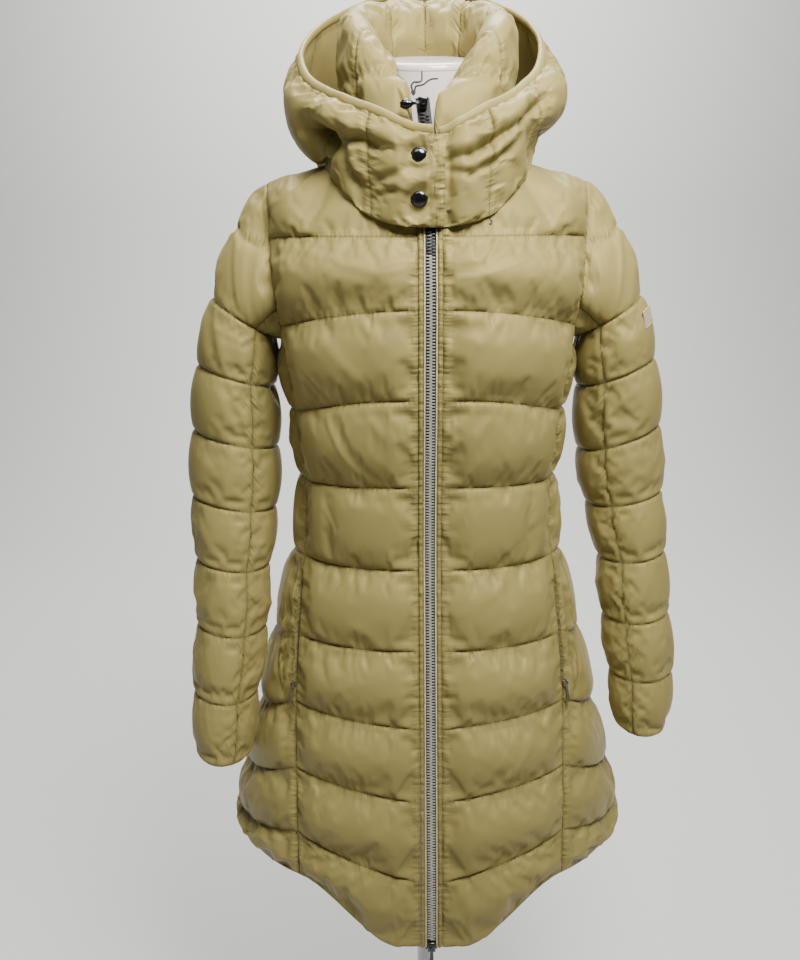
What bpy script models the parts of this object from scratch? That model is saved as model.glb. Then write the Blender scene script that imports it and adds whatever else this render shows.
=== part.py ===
"""A long quilted puffer coat with a folded-down hood, zipped up on a limbless dress form.

Metres, +Z up. The front of the coat faces -Y and the origin is under the middle of the base plate.
Left and right are as seen from the front: left is at -X.
Each quilted panel is a wall: its plain inside follows the stitched surface of the coat, and its
outside swells between the stitch lines.
"""

import math

import bmesh
import bpy
import numpy as np
from mathutils import Matrix, Vector

# Cloth
GAP = 0.0003  # between neighbouring pieces
WALL = 0.003  # thickness where the layers are stitched together
BODY_LOFT = 0.012  # how far a channel of the body swells over its stitch lines
SLEEVE_LOFT = 0.008
HOOD_LOFT = 0.007
COLLAR_LOFT = 0.006
SEAM_FADE = 0.034  # distance over which a channel flattens towards a seam
ROW_STEPS = (0.0, 0.2, 0.5, 0.8)  # rows of one channel, as fractions of its height

# Coat
SQUARENESS = 2.35  # exponent of the rounded section, 2 being an ellipse
SHOULDER_X, SHOULDER_Z = 0.187, 1.352  # end of the shoulder seam
NECK_X, NECK_Z = 0.066, 1.387  # neck end of the shoulder seam
NECK_DIP_FRONT, NECK_DIP_BACK = 0.062, 0.022
ARMPIT_Z = 1.19  # where the armhole leaves the front and back panels
ARMHOLE_DROP = 0.019  # how much lower it runs under the arm
ARMHOLE_WIDEN = 0.012  # how much wider the section is above it
SHOULDER_POWER = 1.8
ZIP_HALF = 0.0073
GUARD_WIDTH = 0.0055
FRONT_START = ZIP_HALF + GUARD_WIDTH + 2 * GAP
POCKET_TOP, POCKET_BOTTOM = 0.885, 0.752
POCKET_HALF = 0.0016  # half-width of the slot in the princess seam

# Hood
OVERLAP_DEG = 6.6  # how far the left half laps over the right one at the front
UNDERLAP = 0.0045  # how far the right half steps in under it
LEFT_DROOP = 0.016  # how much lower the left lobe of the hood hangs
BINDING_RADIUS, BINDING_LIFT = 0.0034, 0.0018
SNAP_RADIUS, SNAP_HEIGHT = 0.0082, 0.0042
SNAP_X, SNAP_Z = -0.012, (1.357, 1.3165)

# Zip sliders: width, thickness, length. Pull tabs: width, thickness, length, length of the neck.
SLIDER = (0.0105, 0.0052, 0.012)
TOP_PULL = (0.0110, 0.0020, 0.0240, 0.0100)
BOTTOM_PULL = (0.0052, 0.0014, 0.0200, 0.0024)
POCKET_SLIDER = (0.0052, 0.0030, 0.0080)
POCKET_PULL = (0.0046, 0.0012, 0.0240, 0.0024)
POCKET_SLIDER_LIFT = 0.0030
TOP_LEAN = math.radians(84)  # how far the top pull leans to one side
LUG = 0.0010  # thickness of the two lugs that hold a pull tab
LUG_REACH = 0.0028  # how far they stand out from the slider
HINGE_GAP = 0.0004
TAPE_LAYER = (-0.0006, 0.0006)  # below and above the stitched surface
TEETH_LAYER = (0.0009, 0.0030)
TEETH_HALF = 0.0048

# Small pieces
SNAP_LIFT = 0.0020
PATCH_TURNS, PATCH_ALONG, PATCH_THICKNESS = (27, 57), (0.022, 0.058), 0.0010
LOOP_X, LOOP_Z, LOOP_RADIUS, LOOP_CORD = 0.062, 1.2975, 0.0034, 0.0010

# Pull cord, from its knot to its two free ends
CORD_DIAMETER, CORD_POINTS = 0.0019, 13
KNOT_PLACE, KNOT_RADIUS = (-0.0175, -0.1085, 1.4228), 0.0022
CORD_ROUTES = {
    "pull_cord_end_1": [
        (-0.0185, -0.1085, 1.4254), (-0.0196, -0.1100, 1.4290), (-0.0170, -0.1108, 1.4320),
        (-0.0125, -0.1085, 1.4325), (-0.0092, -0.1060, 1.4345), (-0.0086, -0.1040, 1.4390),
        (-0.0088, -0.1020, 1.4440),
    ],
    "pull_cord_end_2": [
        (-0.0160, -0.1090, 1.4252), (-0.0150, -0.1105, 1.4280), (-0.0110, -0.1105, 1.4290),
        (-0.0070, -0.1085, 1.4305), (-0.0030, -0.1060, 1.4340), (0.0020, -0.1040, 1.4365),
        (0.0078, -0.1030, 1.4370),
    ],
}

# Dress form
FORM_TOP = 1.476
BASE_RADIUS, BASE_THICKNESS = 0.165, 0.012
POLE_RADIUS = 0.0125
FORM_BOTTOM = 0.80
NECK_SLOPE = 0.36  # rise of the neck's slanted top from front to back


class Table:
    """Rows of named columns, read at any value of the first column on a smooth curve."""

    def __init__(self, columns, rows, level_ends=False):
        self.names = columns.split()
        self.data = np.array(sorted(rows)).T
        self.level_ends = level_ends

    def __call__(self, name, at):
        places, values = self.data[0], self.data[self.names.index(name)]
        slopes = np.gradient(values, places)
        if self.level_ends:
            slopes[[0, -1]] = 0
        at = np.clip(at, places[0], places[-1])
        i = np.clip(np.searchsorted(places, at) - 1, 0, len(places) - 2)
        span = places[i + 1] - places[i]
        t = (at - places[i]) / span
        return (
            (2 * t**3 - 3 * t**2 + 1) * values[i]
            + (t**3 - 2 * t**2 + t) * span * slopes[i]
            + (3 * t**2 - 2 * t**3) * values[i + 1]
            + (t**3 - t**2) * span * slopes[i + 1]
        )


# Stitched surface of the body. edge and back_edge are the half-distances between the seams.
BODY = Table(
    "z half_width front back edge back_edge",
    [
        (1.352, 0.180, 0.131, 0.118, 0.187, 0.187),
        (1.280, 0.180, 0.131, 0.118, 0.181, 0.181),
        (1.190, 0.179, 0.131, 0.118, 0.172, 0.172),
        (1.100, 0.167, 0.128, 0.112, 0.160, 0.153),
        (1.000, 0.157, 0.119, 0.110, 0.149, 0.138),
        (0.930, 0.162, 0.119, 0.114, 0.151, 0.137),
        (0.860, 0.180, 0.130, 0.128, 0.158, 0.142),
        (0.780, 0.201, 0.146, 0.139, 0.163, 0.148),
        (0.675, 0.223, 0.164, 0.152, 0.164, 0.154),
        (0.613, 0.240, 0.175, 0.161, 0.163, 0.157),
        (0.548, 0.253, 0.184, 0.169, 0.162, 0.160),
        (0.440, 0.277, 0.192, 0.178, 0.158, 0.164),
    ],
)

# Stitch lines, hem to chest: height at the centre front, princess seam, back seam and centre back,
# how far the line sags between the two seams of a side panel, and the power of its bend across a
# front panel.
LINES = Table(
    "line centre princess back_seam centre_back sag bend",
    [
        (0, 0.453, 0.528, 0.503, 0.482, -0.012, 1.5),
        (1, 0.5405, 0.582, 0.572, 0.560, 0.030, 1.15),
        (2, 0.638, 0.659, 0.652, 0.645, 0.042, 1.0),
        (3, 0.7255, 0.7375, 0.733, 0.730, 0.036, 0.9),
        (4, 0.817, 0.818, 0.817, 0.816, 0.020, 1.5),
        (5, 0.911, 0.911, 0.911, 0.910, 0.006, 1.5),
        (6, 1.010, 1.005, 1.006, 1.008, 0.000, 1.5),
        (7, 1.110, 1.089, 1.094, 1.104, 0.000, 2.2),
        (8, 1.206, 1.188, 1.189, 1.200, 0.000, 2.0),
        (9, 1.282, 1.287, 1.289, 1.287, 0.000, 1.5),
    ],
)
HEM_LEVEL = 0.15  # share of a front panel's width over which its hem stays level beside the zip

# Sleeves: q is the height of a ring at its outer side, tilt the slope of the ring across the arm.
SLEEVES = {
    "left": Table(
        "q outer inner forward depth tilt",
        [
            (1.222, 0.257, 0.189, 0.000, 0.055, 0.68),
            (1.143, 0.279, 0.194, 0.000, 0.057, 0.34),
            (1.063, 0.290, 0.1935, -0.002, 0.055, 0.26),
            (0.981, 0.294, 0.198, -0.012, 0.052, 0.22),
            (0.903, 0.290, 0.207, -0.030, 0.048, 0.18),
            (0.823, 0.289, 0.212, -0.050, 0.046, 0.16),
            (0.741, 0.293, 0.223, -0.071, 0.044, 0.14),
            (0.664, 0.290, 0.230, -0.090, 0.040, 0.10),
        ],
    ),
    "right": Table(
        "q outer inner forward depth tilt",
        [
            (1.222, 0.256, 0.189, 0.000, 0.055, 0.68),
            (1.148, 0.276, 0.194, 0.000, 0.057, 0.44),
            (1.066, 0.289, 0.198, 0.000, 0.054, 0.38),
            (0.982, 0.296, 0.211, -0.006, 0.050, 0.24),
            (0.906, 0.300, 0.226, -0.022, 0.046, 0.16),
            (0.830, 0.304, 0.232, -0.040, 0.044, 0.14),
            (0.757, 0.309, 0.241, -0.056, 0.042, 0.12),
            (0.686, 0.300, 0.247, -0.070, 0.038, 0.08),
        ],
    ),
}
CAP_LINE = 1.301  # height of the stitch line across the sleeve cap, at its outer side
CAP_RISE, CAP_FORWARD = 0.042, 0.004  # how far the cap stands over a straight line
SEAM_DEG = 125  # the two sleeve seams, turned from the outer side
SEAM_GAP_DEG = 0.25  # half the gap between them
ARMHOLE_GAP = 0.0016
ARMHOLE_DEG = 135  # where the armhole passes from front panel to side panel

# Hood: radius and height about the neck of the points from the neck seam to the brim.
HOOD_POINTS = ("base", "crease", "low", "out", "high", "brim")
HOOD = Table(
    "turn base_r base_z crease_r crease_z low_r low_z out_r out_z high_r high_z brim_r brim_z",
    [
        (0, 0.122, 1.291, 0.1225, 1.311, 0.1235, 1.329, 0.124, 1.347, 0.1235, 1.365, 0.121, 1.382),
        (30, 0.124, 1.303, 0.1245, 1.328, 0.1275, 1.350, 0.130, 1.370, 0.129, 1.390, 0.122, 1.410),
        (60, 0.125, 1.350, 0.122, 1.370, 0.128, 1.386, 0.138, 1.410, 0.138, 1.437, 0.124, 1.458),
        (75, 0.121, 1.372, 0.116, 1.385, 0.127, 1.390, 0.146, 1.416, 0.147, 1.451, 0.129, 1.480),
        (90, 0.116, 1.381, 0.110, 1.394, 0.127, 1.396, 0.153, 1.424, 0.155, 1.466, 0.134, 1.501),
        (110, 0.111, 1.374, 0.111, 1.398, 0.130, 1.402, 0.155, 1.426, 0.164, 1.468, 0.142, 1.532),
        (130, 0.106, 1.364, 0.112, 1.397, 0.140, 1.362, 0.166, 1.386, 0.180, 1.470, 0.150, 1.560),
        (180, 0.094, 1.338, 0.112, 1.388, 0.152, 1.290, 0.212, 1.330, 0.204, 1.470, 0.146, 1.592),
    ],
    level_ends=True,
)
HOOD_TURNS = 6  # channels of each half

# Collar: outer radius, thickness and top height round the neck.
COLLAR = Table(
    "turn radius thickness top",
    [
        (0, 0.0995, 0.009, 1.420),
        (8, 0.0995, 0.012, 1.426),
        (17, 0.0998, 0.024, 1.440),
        (28, 0.1002, 0.033, 1.459),
        (45, 0.1005, 0.036, 1.488),
        (90, 0.099, 0.037, 1.532),
        (135, 0.096, 0.037, 1.558),
        (180, 0.097, 0.036, 1.566),
    ],
    level_ends=True,
)
COLLAR_START_DEG, COLLAR_V_DEG = 5.3, 8.0  # where its front edges stand, at the zip and at the top
COLLAR_LEAN_DEG = 5.2  # how far its top leans to the left with the zip
COLLAR_TURNS = 8
COLLAR_LIFT = 0.004  # height of its lower edge over the neckline

# Centre front above the neck seam, where the zip runs up the collar.
COLLAR_ZIP = Table(
    "z y x",
    [
        (1.300, -0.1060, 0.000),
        (1.330, -0.1035, 0.000),
        (1.375, -0.1015, -0.003),
        (1.428, -0.0985, -0.009),
    ],
)
ZIP_TOP, ZIP_BOTTOM = 1.420, 0.4505

FORM = Table(
    "z half_width front back",
    [
        (0.800, 0.145, 0.095, 0.098),
        (0.860, 0.152, 0.100, 0.104),
        (0.930, 0.146, 0.096, 0.098),
        (1.000, 0.132, 0.088, 0.086),
        (1.080, 0.142, 0.100, 0.088),
        (1.140, 0.150, 0.108, 0.092),
        (1.220, 0.152, 0.098, 0.092),
        (1.290, 0.150, 0.076, 0.074),
        (1.320, 0.108, 0.058, 0.053),
        (1.345, 0.070, 0.050, 0.047),
        (1.365, 0.0525, 0.049, 0.046),
        (1.430, 0.0515, 0.050, 0.048),
        (1.476, 0.0520, 0.051, 0.050),
    ],
)


def material(name, color, roughness, metallic=0.0, sheen=0.0):
    """A plain Principled material; color is linear RGB."""
    made = bpy.data.materials.new(name)
    made.use_nodes = True
    shader = made.node_tree.nodes["Principled BSDF"]
    shader.inputs["Base Color"].default_value = (*color, 1)
    shader.inputs["Roughness"].default_value = roughness
    shader.inputs["Metallic"].default_value = metallic
    shader.inputs["Sheen Weight"].default_value = sheen
    return made


def unit(vectors):
    return vectors / np.linalg.norm(vectors, axis=-1, keepdims=True)


def smoothstep(low, high, value):
    t = np.clip((value - low) / (high - low), 0, 1)
    return t * t * (3 - 2 * t)


def swell(phase):
    """Height of a channel across its width, 0 at its two stitch lines."""
    return np.abs(np.sin(np.pi * phase)) ** 0.6


def fade(distance, width=SEAM_FADE):
    """How far a channel has swollen at this distance from a seam."""
    return np.sin(np.pi / 2 * np.clip(distance / width, 0, 1)) ** 0.7


# Meshes


def add_object(name, mesh, finish, location=(0, 0, 0)):
    obj = bpy.data.objects.new(name, mesh)
    obj.location = location
    obj.data.materials.append(finish)
    bpy.data.collections["puffer_coat_on_form"].objects.link(obj)
    return obj


def mesh_of(name, points, faces):
    mesh = bpy.data.meshes.new(name)
    mesh.from_pydata([tuple(p) for p in points], [], faces)
    bm = bmesh.new()
    bm.from_mesh(mesh)
    bmesh.ops.recalc_face_normals(bm, faces=bm.faces)
    bm.to_mesh(mesh)
    bm.free()
    mesh.shade_smooth()
    mesh.set_sharp_from_angle(angle=math.radians(50))
    return mesh


def wall(name, outer, inner, keep_rows, keep_columns, finish):
    """A closed wall between two grids of points. The plain inner side keeps only some rows and columns."""
    rows, columns = outer.shape[:2]
    points = list(outer.reshape(-1, 3))
    index = {}
    for r in keep_rows:
        for c in keep_columns:
            index[r, c] = len(points)
            points.append(inner[r, c])
    faces = []
    for r in range(rows - 1):
        for c in range(columns - 1):
            at = r * columns + c
            faces.append((at, at + 1, at + columns + 1, at + columns))
    for r, r_next in zip(keep_rows, keep_rows[1:]):
        for c, c_next in zip(keep_columns, keep_columns[1:]):
            faces.append((index[r, c], index[r_next, c], index[r_next, c_next], index[r, c_next]))
    for r in (0, rows - 1):
        for c, c_next in zip(keep_columns, keep_columns[1:]):
            rim = [r * columns + k for k in range(c, c_next + 1)]
            faces.append((*rim, index[r, c_next], index[r, c]))
    for c in (0, columns - 1):
        for r, r_next in zip(keep_rows, keep_rows[1:]):
            rim = [k * columns + c for k in range(r, r_next + 1)]
            faces.append((*rim, index[r_next, c], index[r, c]))
    return add_object(name, mesh_of(name, points, faces), finish)


def quilted(name, surface, normal, loft, finish, keep_rows, keep_columns, thickness=WALL):
    outer = surface + normal * loft[..., None]
    return wall(name, outer, surface - normal * thickness, keep_rows, keep_columns, finish)


def strip(name, surface, normal, low, high, finish):
    """A plain strip on a surface, between two heights over it."""
    rows, columns = range(surface.shape[0]), range(surface.shape[1])
    return wall(name, surface + normal * high, surface + normal * low, list(rows), list(columns), finish)


def loft(name, rings, finish, closed=False):
    """A solid through rings of equal length, with flat ends unless the rings close on themselves."""
    count, sides = rings.shape[:2]
    faces = []
    for i in range(count if closed else count - 1):
        for k in range(sides):
            a, b = i * sides, (i + 1) % count * sides
            faces.append((a + k, a + (k + 1) % sides, b + (k + 1) % sides, b + k))
    if not closed:
        faces.append(tuple(range(sides)))
        faces.append(tuple((count - 1) * sides + k for k in reversed(range(sides))))
    return add_object(name, mesh_of(name, rings.reshape(-1, 3), faces), finish)


def drum(name, radius, height, finish, location, sides=32, bevel=0.0):
    """An upright cylinder standing on its location."""
    bm = bmesh.new()
    up = Matrix.Translation((0, 0, height / 2))
    bmesh.ops.create_cone(
        bm, cap_ends=True, segments=sides, radius1=radius, radius2=radius, depth=height, matrix=up
    )
    if bevel:
        rims = [edge for edge in bm.edges if all(v.co.z > height / 2 for v in edge.verts)]
        bmesh.ops.bevel(bm, geom=rims, offset=bevel, segments=2, affect="EDGES", profile=0.5)
    mesh = bpy.data.meshes.new(name)
    bm.to_mesh(mesh)
    bm.free()
    return add_object(name, mesh, finish, location)


# Surface of the body


def shoulder_z(x):
    return SHOULDER_Z + (SHOULDER_X - np.abs(x)) * (NECK_Z - SHOULDER_Z) / (SHOULDER_X - NECK_X)


def depth(x, z, side):
    """Distance of the stitched surface in front of, or behind, the middle plane."""
    level = np.minimum(z, ARMPIT_Z)
    half_width = BODY("half_width", level) + ARMHOLE_WIDEN * smoothstep(ARMPIT_Z, ARMPIT_Z + 0.04, z)
    flat = 1 - np.clip(np.abs(x) / half_width, 0, 1) ** SQUARENESS
    rise = np.clip((z - ARMPIT_Z) / (shoulder_z(x) - ARMPIT_Z), 0, 1)
    return BODY(side, level) * flat ** (1 / SQUARENESS) * (1 - rise**SHOULDER_POWER) ** 0.5


def body_point(x, z, side):
    sign = -1 if side == "front" else 1
    return np.stack([x, sign * (depth(x, z, side) + GAP / 2), z], -1)


def body_normal(x, z, side):
    step = 2e-4
    sign = -1 if side == "front" else 1
    by_x = depth(x + step, z, side) - depth(x - step, z, side)
    by_z = depth(x, z + step, side) - depth(x, z - step, side)
    return unit(np.stack([-by_x, np.full_like(x, sign * 2 * step), -by_z], -1))


def pocket_slot(z):
    """How far each panel stands back from the princess seam along the pocket opening."""
    above = smoothstep(POCKET_BOTTOM, POCKET_BOTTOM + 0.01, z)
    below = smoothstep(POCKET_TOP, POCKET_TOP - 0.01, z)
    return POCKET_HALF * above * below


def section_turn(x, z):
    """Angle round the body's section at which the half-width reaches x, from the front or the back."""
    return np.arcsin(np.clip(x / BODY("half_width", z), 0, 1) ** (SQUARENESS / 2))


def side_point(across, z):
    """Point of the side panel at +X, from its front seam to its back seam."""
    front = section_turn(BODY("edge", z) + GAP / 2 + pocket_slot(z), z)
    back = math.pi - section_turn(BODY("back_edge", z) + GAP / 2, z)
    turn = front + (back - front) * across
    power = 2 / SQUARENESS
    reach = np.where(turn < math.pi / 2, -BODY("front", z), BODY("back", z))
    x = BODY("half_width", z) * np.abs(np.sin(turn)) ** power
    return np.stack([x, reach * np.abs(np.cos(turn)) ** power, z + 0 * x], -1)


def side_normal(across, z):
    step = 1e-3
    by_across = side_point(np.clip(across + step, 0, 1), z) - side_point(np.clip(across - step, 0, 1), z)
    by_z = side_point(across, z + step) - side_point(across, z - step)
    return unit(np.cross(by_across, by_z))


def armhole_z(across):
    """Height of the armhole along the top of a side panel."""
    return ARMPIT_Z - ARMHOLE_DROP * np.sin(np.pi * across) ** 0.7


def neck_z(x, dip):
    """Top edge of the front and back panels: neckline, then shoulder seam."""
    inside = np.clip(1 - (x / NECK_X) ** 2, 0, 1) ** 0.5
    return np.where(np.abs(x) < NECK_X, NECK_Z - dip * inside, shoulder_z(x))


def channel_rows(lines):
    """Heights of the rows between stitch lines, and how far each is through its channel."""
    heights, phases = [], []
    for low, high in zip(lines, lines[1:]):
        for step in ROW_STEPS:
            heights.append(low + (high - low) * step)
            phases.append(step)
    heights.append(lines[-1])
    phases.append(0.0)
    return np.array(heights), np.array(phases)


def under_hood(points):
    """0 where the hood's band lies on the coat, 1 clear of it."""
    return smoothstep(0.128, 0.165, np.hypot(points[..., 0], points[..., 1]))


def front_panel(name, mirror, finish):
    share = np.array([0, 0.05, 0.13, 0.22, 0.31, 0.44, 0.6, 0.76, 0.89, 0.96, 1])
    numbers = np.arange(10)
    bend = LINES("bend", numbers)[:, None]
    rise = np.where(numbers[:, None] == 0, smoothstep(HEM_LEVEL, 1, share), share**bend)
    centre, princess = LINES("centre", numbers)[:, None], LINES("princess", numbers)[:, None]
    lines = list(centre + (princess - centre) * rise)
    top_x = FRONT_START + share * (SHOULDER_X - FRONT_START)
    lines.append(neck_z(top_x, NECK_DIP_FRONT))
    z, phase = channel_rows(lines)
    x = FRONT_START + share * (BODY("edge", z) - GAP / 2 - pocket_slot(z) - FRONT_START)
    points, normals = body_point(x, z, "front"), body_normal(x, z, "front")
    height = BODY_LOFT * swell(phase)[:, None] * fade(x - FRONT_START) * fade((1 - share) * BODY("edge", z))
    yoke = z > LINES("centre", 9)
    height = np.where(yoke, height * under_hood(points), height)
    points[..., 0] *= mirror
    normals[..., 0] *= mirror
    keep_rows = list(range(0, len(z), 2))
    quilted(name, points, normals, height, finish, keep_rows, [0, 2, 4, 7, 10])


def back_panel(finish):
    half = np.array([0, 0.14, 0.28, 0.353, 0.5, 0.66, 0.8, 0.91, 0.965, 1])
    share = np.concatenate([-half[:0:-1], half])
    numbers = np.arange(10)
    centre, seam = LINES("centre_back", numbers)[:, None], LINES("back_seam", numbers)[:, None]
    lines = list(centre + (seam - centre) * np.abs(share) ** 1.6)
    lines.append(neck_z(share * SHOULDER_X, NECK_DIP_BACK))
    z, phase = channel_rows(lines)
    x = share * (BODY("back_edge", z) - GAP / 2)
    points, normals = body_point(x, z, "back"), body_normal(x, z, "back")
    height = BODY_LOFT * swell(phase)[:, None] * fade(BODY("back_edge", z) - np.abs(x))
    yoke = z > LINES("centre_back", 9)
    height = np.where(yoke, height * under_hood(points), height)
    keep_rows = list(range(0, len(z), 2))
    quilted("back", points, normals, height, finish, keep_rows, [0, 3, 6, 7, 8, 9, 10, 11, 12, 15, 18])


def pocket_flat(across, z):
    """0 over the flat pocket bag behind the front seam of a side panel, 1 elsewhere."""
    along = smoothstep(POCKET_BOTTOM - 0.03, POCKET_BOTTOM, z) * smoothstep(POCKET_TOP + 0.03, POCKET_TOP, z)
    return 1 - 0.75 * along * smoothstep(0.5, 0.3, across)


def side_panel(name, mirror, finish):
    across = np.array([0, 0.08, 0.27, 0.5, 0.73, 0.92, 1])
    numbers = np.arange(8)
    princess, seam = LINES("princess", numbers)[:, None], LINES("back_seam", numbers)[:, None]
    sag = LINES("sag", numbers)[:, None] * np.sin(np.pi * across)
    lines = list(princess + (seam - princess) * across - sag)
    lines.append(armhole_z(across) - GAP)
    z, phase = channel_rows(lines)
    across = across + 0 * z
    points, normals = side_point(across, z), side_normal(across, z)
    girth = np.linalg.norm(np.diff(points, axis=1), axis=-1).sum(axis=1)[:, None]
    height = BODY_LOFT * swell(phase)[:, None] * fade(across * girth) * fade((1 - across) * girth)
    height *= pocket_flat(across, z) * fade(armhole_z(across) - z, 0.06)
    points[..., 0] *= mirror
    normals[..., 0] *= mirror
    keep_rows = list(range(0, len(z), 2))
    quilted(name, points, normals, height, finish, keep_rows, [0, 2, 3, 4, 6])


# Sleeves


def armhole_point(turn):
    """The armhole seam, from the shoulder (0) over the front, under the arm (pi) and up the back."""
    side = np.where(turn < math.pi, 1, -1)
    from_top = np.where(turn < math.pi, turn, 2 * math.pi - turn)
    limit = math.radians(ARMHOLE_DEG)
    z_upper = ARMPIT_Z + (SHOULDER_Z - ARMPIT_Z) * np.cos(np.pi / 2 * np.clip(from_top / limit, 0, 1))
    x_upper = BODY("edge", z_upper)
    y_front, y_back = -depth(x_upper, z_upper, "front"), depth(x_upper, z_upper, "back")
    upper = np.stack([x_upper, np.where(side > 0, y_front, y_back), z_upper], -1)
    below = np.clip((from_top - limit) / (math.pi - limit), 0, 1) / 2
    across = np.where(side > 0, below, 1 - below)
    under = side_point(across, armhole_z(across))
    return np.where((from_top < limit)[..., None], upper, under)


def sleeve_ring(table, q, turn):
    outer, inner = table("outer", q), table("inner", q)
    middle, half = (outer + inner) / 2, (outer - inner) / 2
    x = middle + half * np.cos(turn)
    y = table("forward", q) - table("depth", q) * np.sin(turn)
    return np.stack([x, y, q - table("tilt", q) * (outer - x)], -1)


def sleeve_point(table, turn, along):
    """Stitched surface of a sleeve. along runs 0 to 1 over the cap, then with the ring height."""
    top = table.data[0][-1]
    low = table.data[0][0]
    turn, along = np.broadcast_arrays(turn, along)
    seam = armhole_point(np.mod(turn, 2 * math.pi)) + np.array([ARMHOLE_GAP, 0, 0])
    ring = sleeve_ring(table, np.full_like(turn, top), turn)
    up = np.cos(turn / 2) ** 4
    lift = np.stack([0 * up, -CAP_FORWARD * np.sin(turn), CAP_RISE * up + GAP], -1)
    control = (seam + ring) / 2 + lift
    t = np.clip(along, 0, 1)[..., None]
    cap = (1 - t) ** 2 * seam + 2 * t * (1 - t) * control + t**2 * ring
    q = top - (along - 1) * (top - low)
    return np.where(along[..., None] <= 1, cap, sleeve_ring(table, np.minimum(q, top), turn))


def sleeve_normal(table, turn, along):
    step = 1e-3
    by_turn = sleeve_point(table, turn + step, along) - sleeve_point(table, turn - step, along)
    low, high = np.maximum(along - step, 0), np.minimum(along + step, 2)
    by_along = sleeve_point(table, turn, high) - sleeve_point(table, turn, low)
    return unit(np.cross(by_turn, by_along))


def sleeve_piece(name, side, turns, keep_columns, finish):
    table = SLEEVES[side]
    mirror = -1 if side == "left" else 1
    lines = table.data[0][::-1]
    top, low = lines[0], lines[-1]
    cap_steps = np.array([0, 0.1, 0.22, 0.35, 0.5, 0.68, 0.86])
    q, phase = channel_rows(list(lines))
    along = np.concatenate([cap_steps, 1 + (top - q) / (top - low)])
    turn, along = np.meshgrid(np.array(turns), along)
    points, normals = sleeve_point(table, turn, along), sleeve_normal(table, turn, along)
    on_cap = along < 1
    reach = sleeve_ring(table, np.full_like(turn, top), turn)
    level = points[..., 2] - (reach[..., 2] - top)
    upper = (level - top) / (CAP_LINE - top)
    phase = np.where(on_cap, upper, np.concatenate([cap_steps, phase])[:, None])
    from_seam = np.linalg.norm(points - points[:1], axis=-1)
    height = SLEEVE_LOFT * swell(phase) * fade(from_seam)
    to_seam = np.minimum(np.abs(turn - turn[:, :1]), np.abs(turn - turn[:, -1:]))
    height = height * fade(to_seam * 0.05, 0.016)
    points[..., 0] *= mirror
    normals[..., 0] *= mirror
    keep_rows = [0, 2, 4] + list(range(len(cap_steps), len(along), len(ROW_STEPS)))
    quilted(name, points, normals, height, finish, keep_rows, keep_columns)


def sleeves(finish):
    for side in ("left", "right"):
        end = SEAM_DEG - SEAM_GAP_DEG
        top = np.radians([-end, -116, -92, -62, -31, 0, 31, 62, 92, 116, end])
        sleeve_piece(f"sleeve_top_{side}", side, top, [0, 2, 4, 6, 8, 10], finish)
        start = SEAM_DEG + SEAM_GAP_DEG
        under = np.radians([start, 134, 158, 180, 202, 226, 360 - start])
        sleeve_piece(f"sleeve_under_{side}", side, under, [0, 2, 4, 6], finish)


# Hood and collar


def spline(controls, share):
    """Points of a smooth curve through a stack of control points, controls[k] being the k-th."""
    last = len(controls) - 1
    place = np.clip(share, 0, 1) * last
    k = np.minimum(place.astype(int), last - 1)
    t = (place - k)[..., None]
    stack = np.stack(np.broadcast_arrays(*controls))
    grid = np.indices(k.shape)

    def pick(step):
        return stack[(np.clip(k + step, 0, last), *grid)]

    a, b, c, d = pick(-1), pick(0), pick(1), pick(2)
    return 0.5 * (2 * b + (c - a) * t + (2 * a - 5 * b + 4 * c - d) * t**2 + (3 * b - a - 3 * c + d) * t**3)


def degrees_round(turn):
    """How far a turn is from the front, 0 to 180 degrees on either side."""
    return np.abs(np.mod(np.degrees(turn) + 180, 360) - 180)


def polar(turn, radius, z):
    return np.stack([radius * np.sin(turn), -radius * np.cos(turn), z + 0 * radius], -1)


def hood_point(turn, share):
    """Stitched surface of the hood; turn is 0 at the front and positive towards +X."""
    turn, share = np.broadcast_arrays(turn, share)
    degrees = degrees_round(turn)
    droop = LEFT_DROOP * np.sin(turn) ** 2 * (np.sin(turn) < 0)
    drops = {"low": droop, "out": droop}
    controls = []
    for name in HOOD_POINTS:
        z = HOOD(name + "_z", degrees) - drops.get(name, 0)
        controls.append(polar(turn, HOOD(name + "_r", degrees), z))
    return spline(controls, share)


def hood_normal(turn, share):
    step = 1e-3
    by_turn = hood_point(turn + step, share) - hood_point(turn - step, share)
    low, high = np.maximum(share - step, 0), np.minimum(share + step, 1)
    return unit(np.cross(by_turn, hood_point(turn, high) - hood_point(turn, low)))


def snap_flat(points):
    """0 where a snap presses the band flat, 1 elsewhere."""
    flat = 1
    for z in SNAP_Z:
        away = np.hypot(points[..., 0] - SNAP_X, points[..., 2] - z) + 0.2 * (points[..., 1] > 0)
        flat = flat * smoothstep(0.008, 0.022, away)
    return flat


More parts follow.
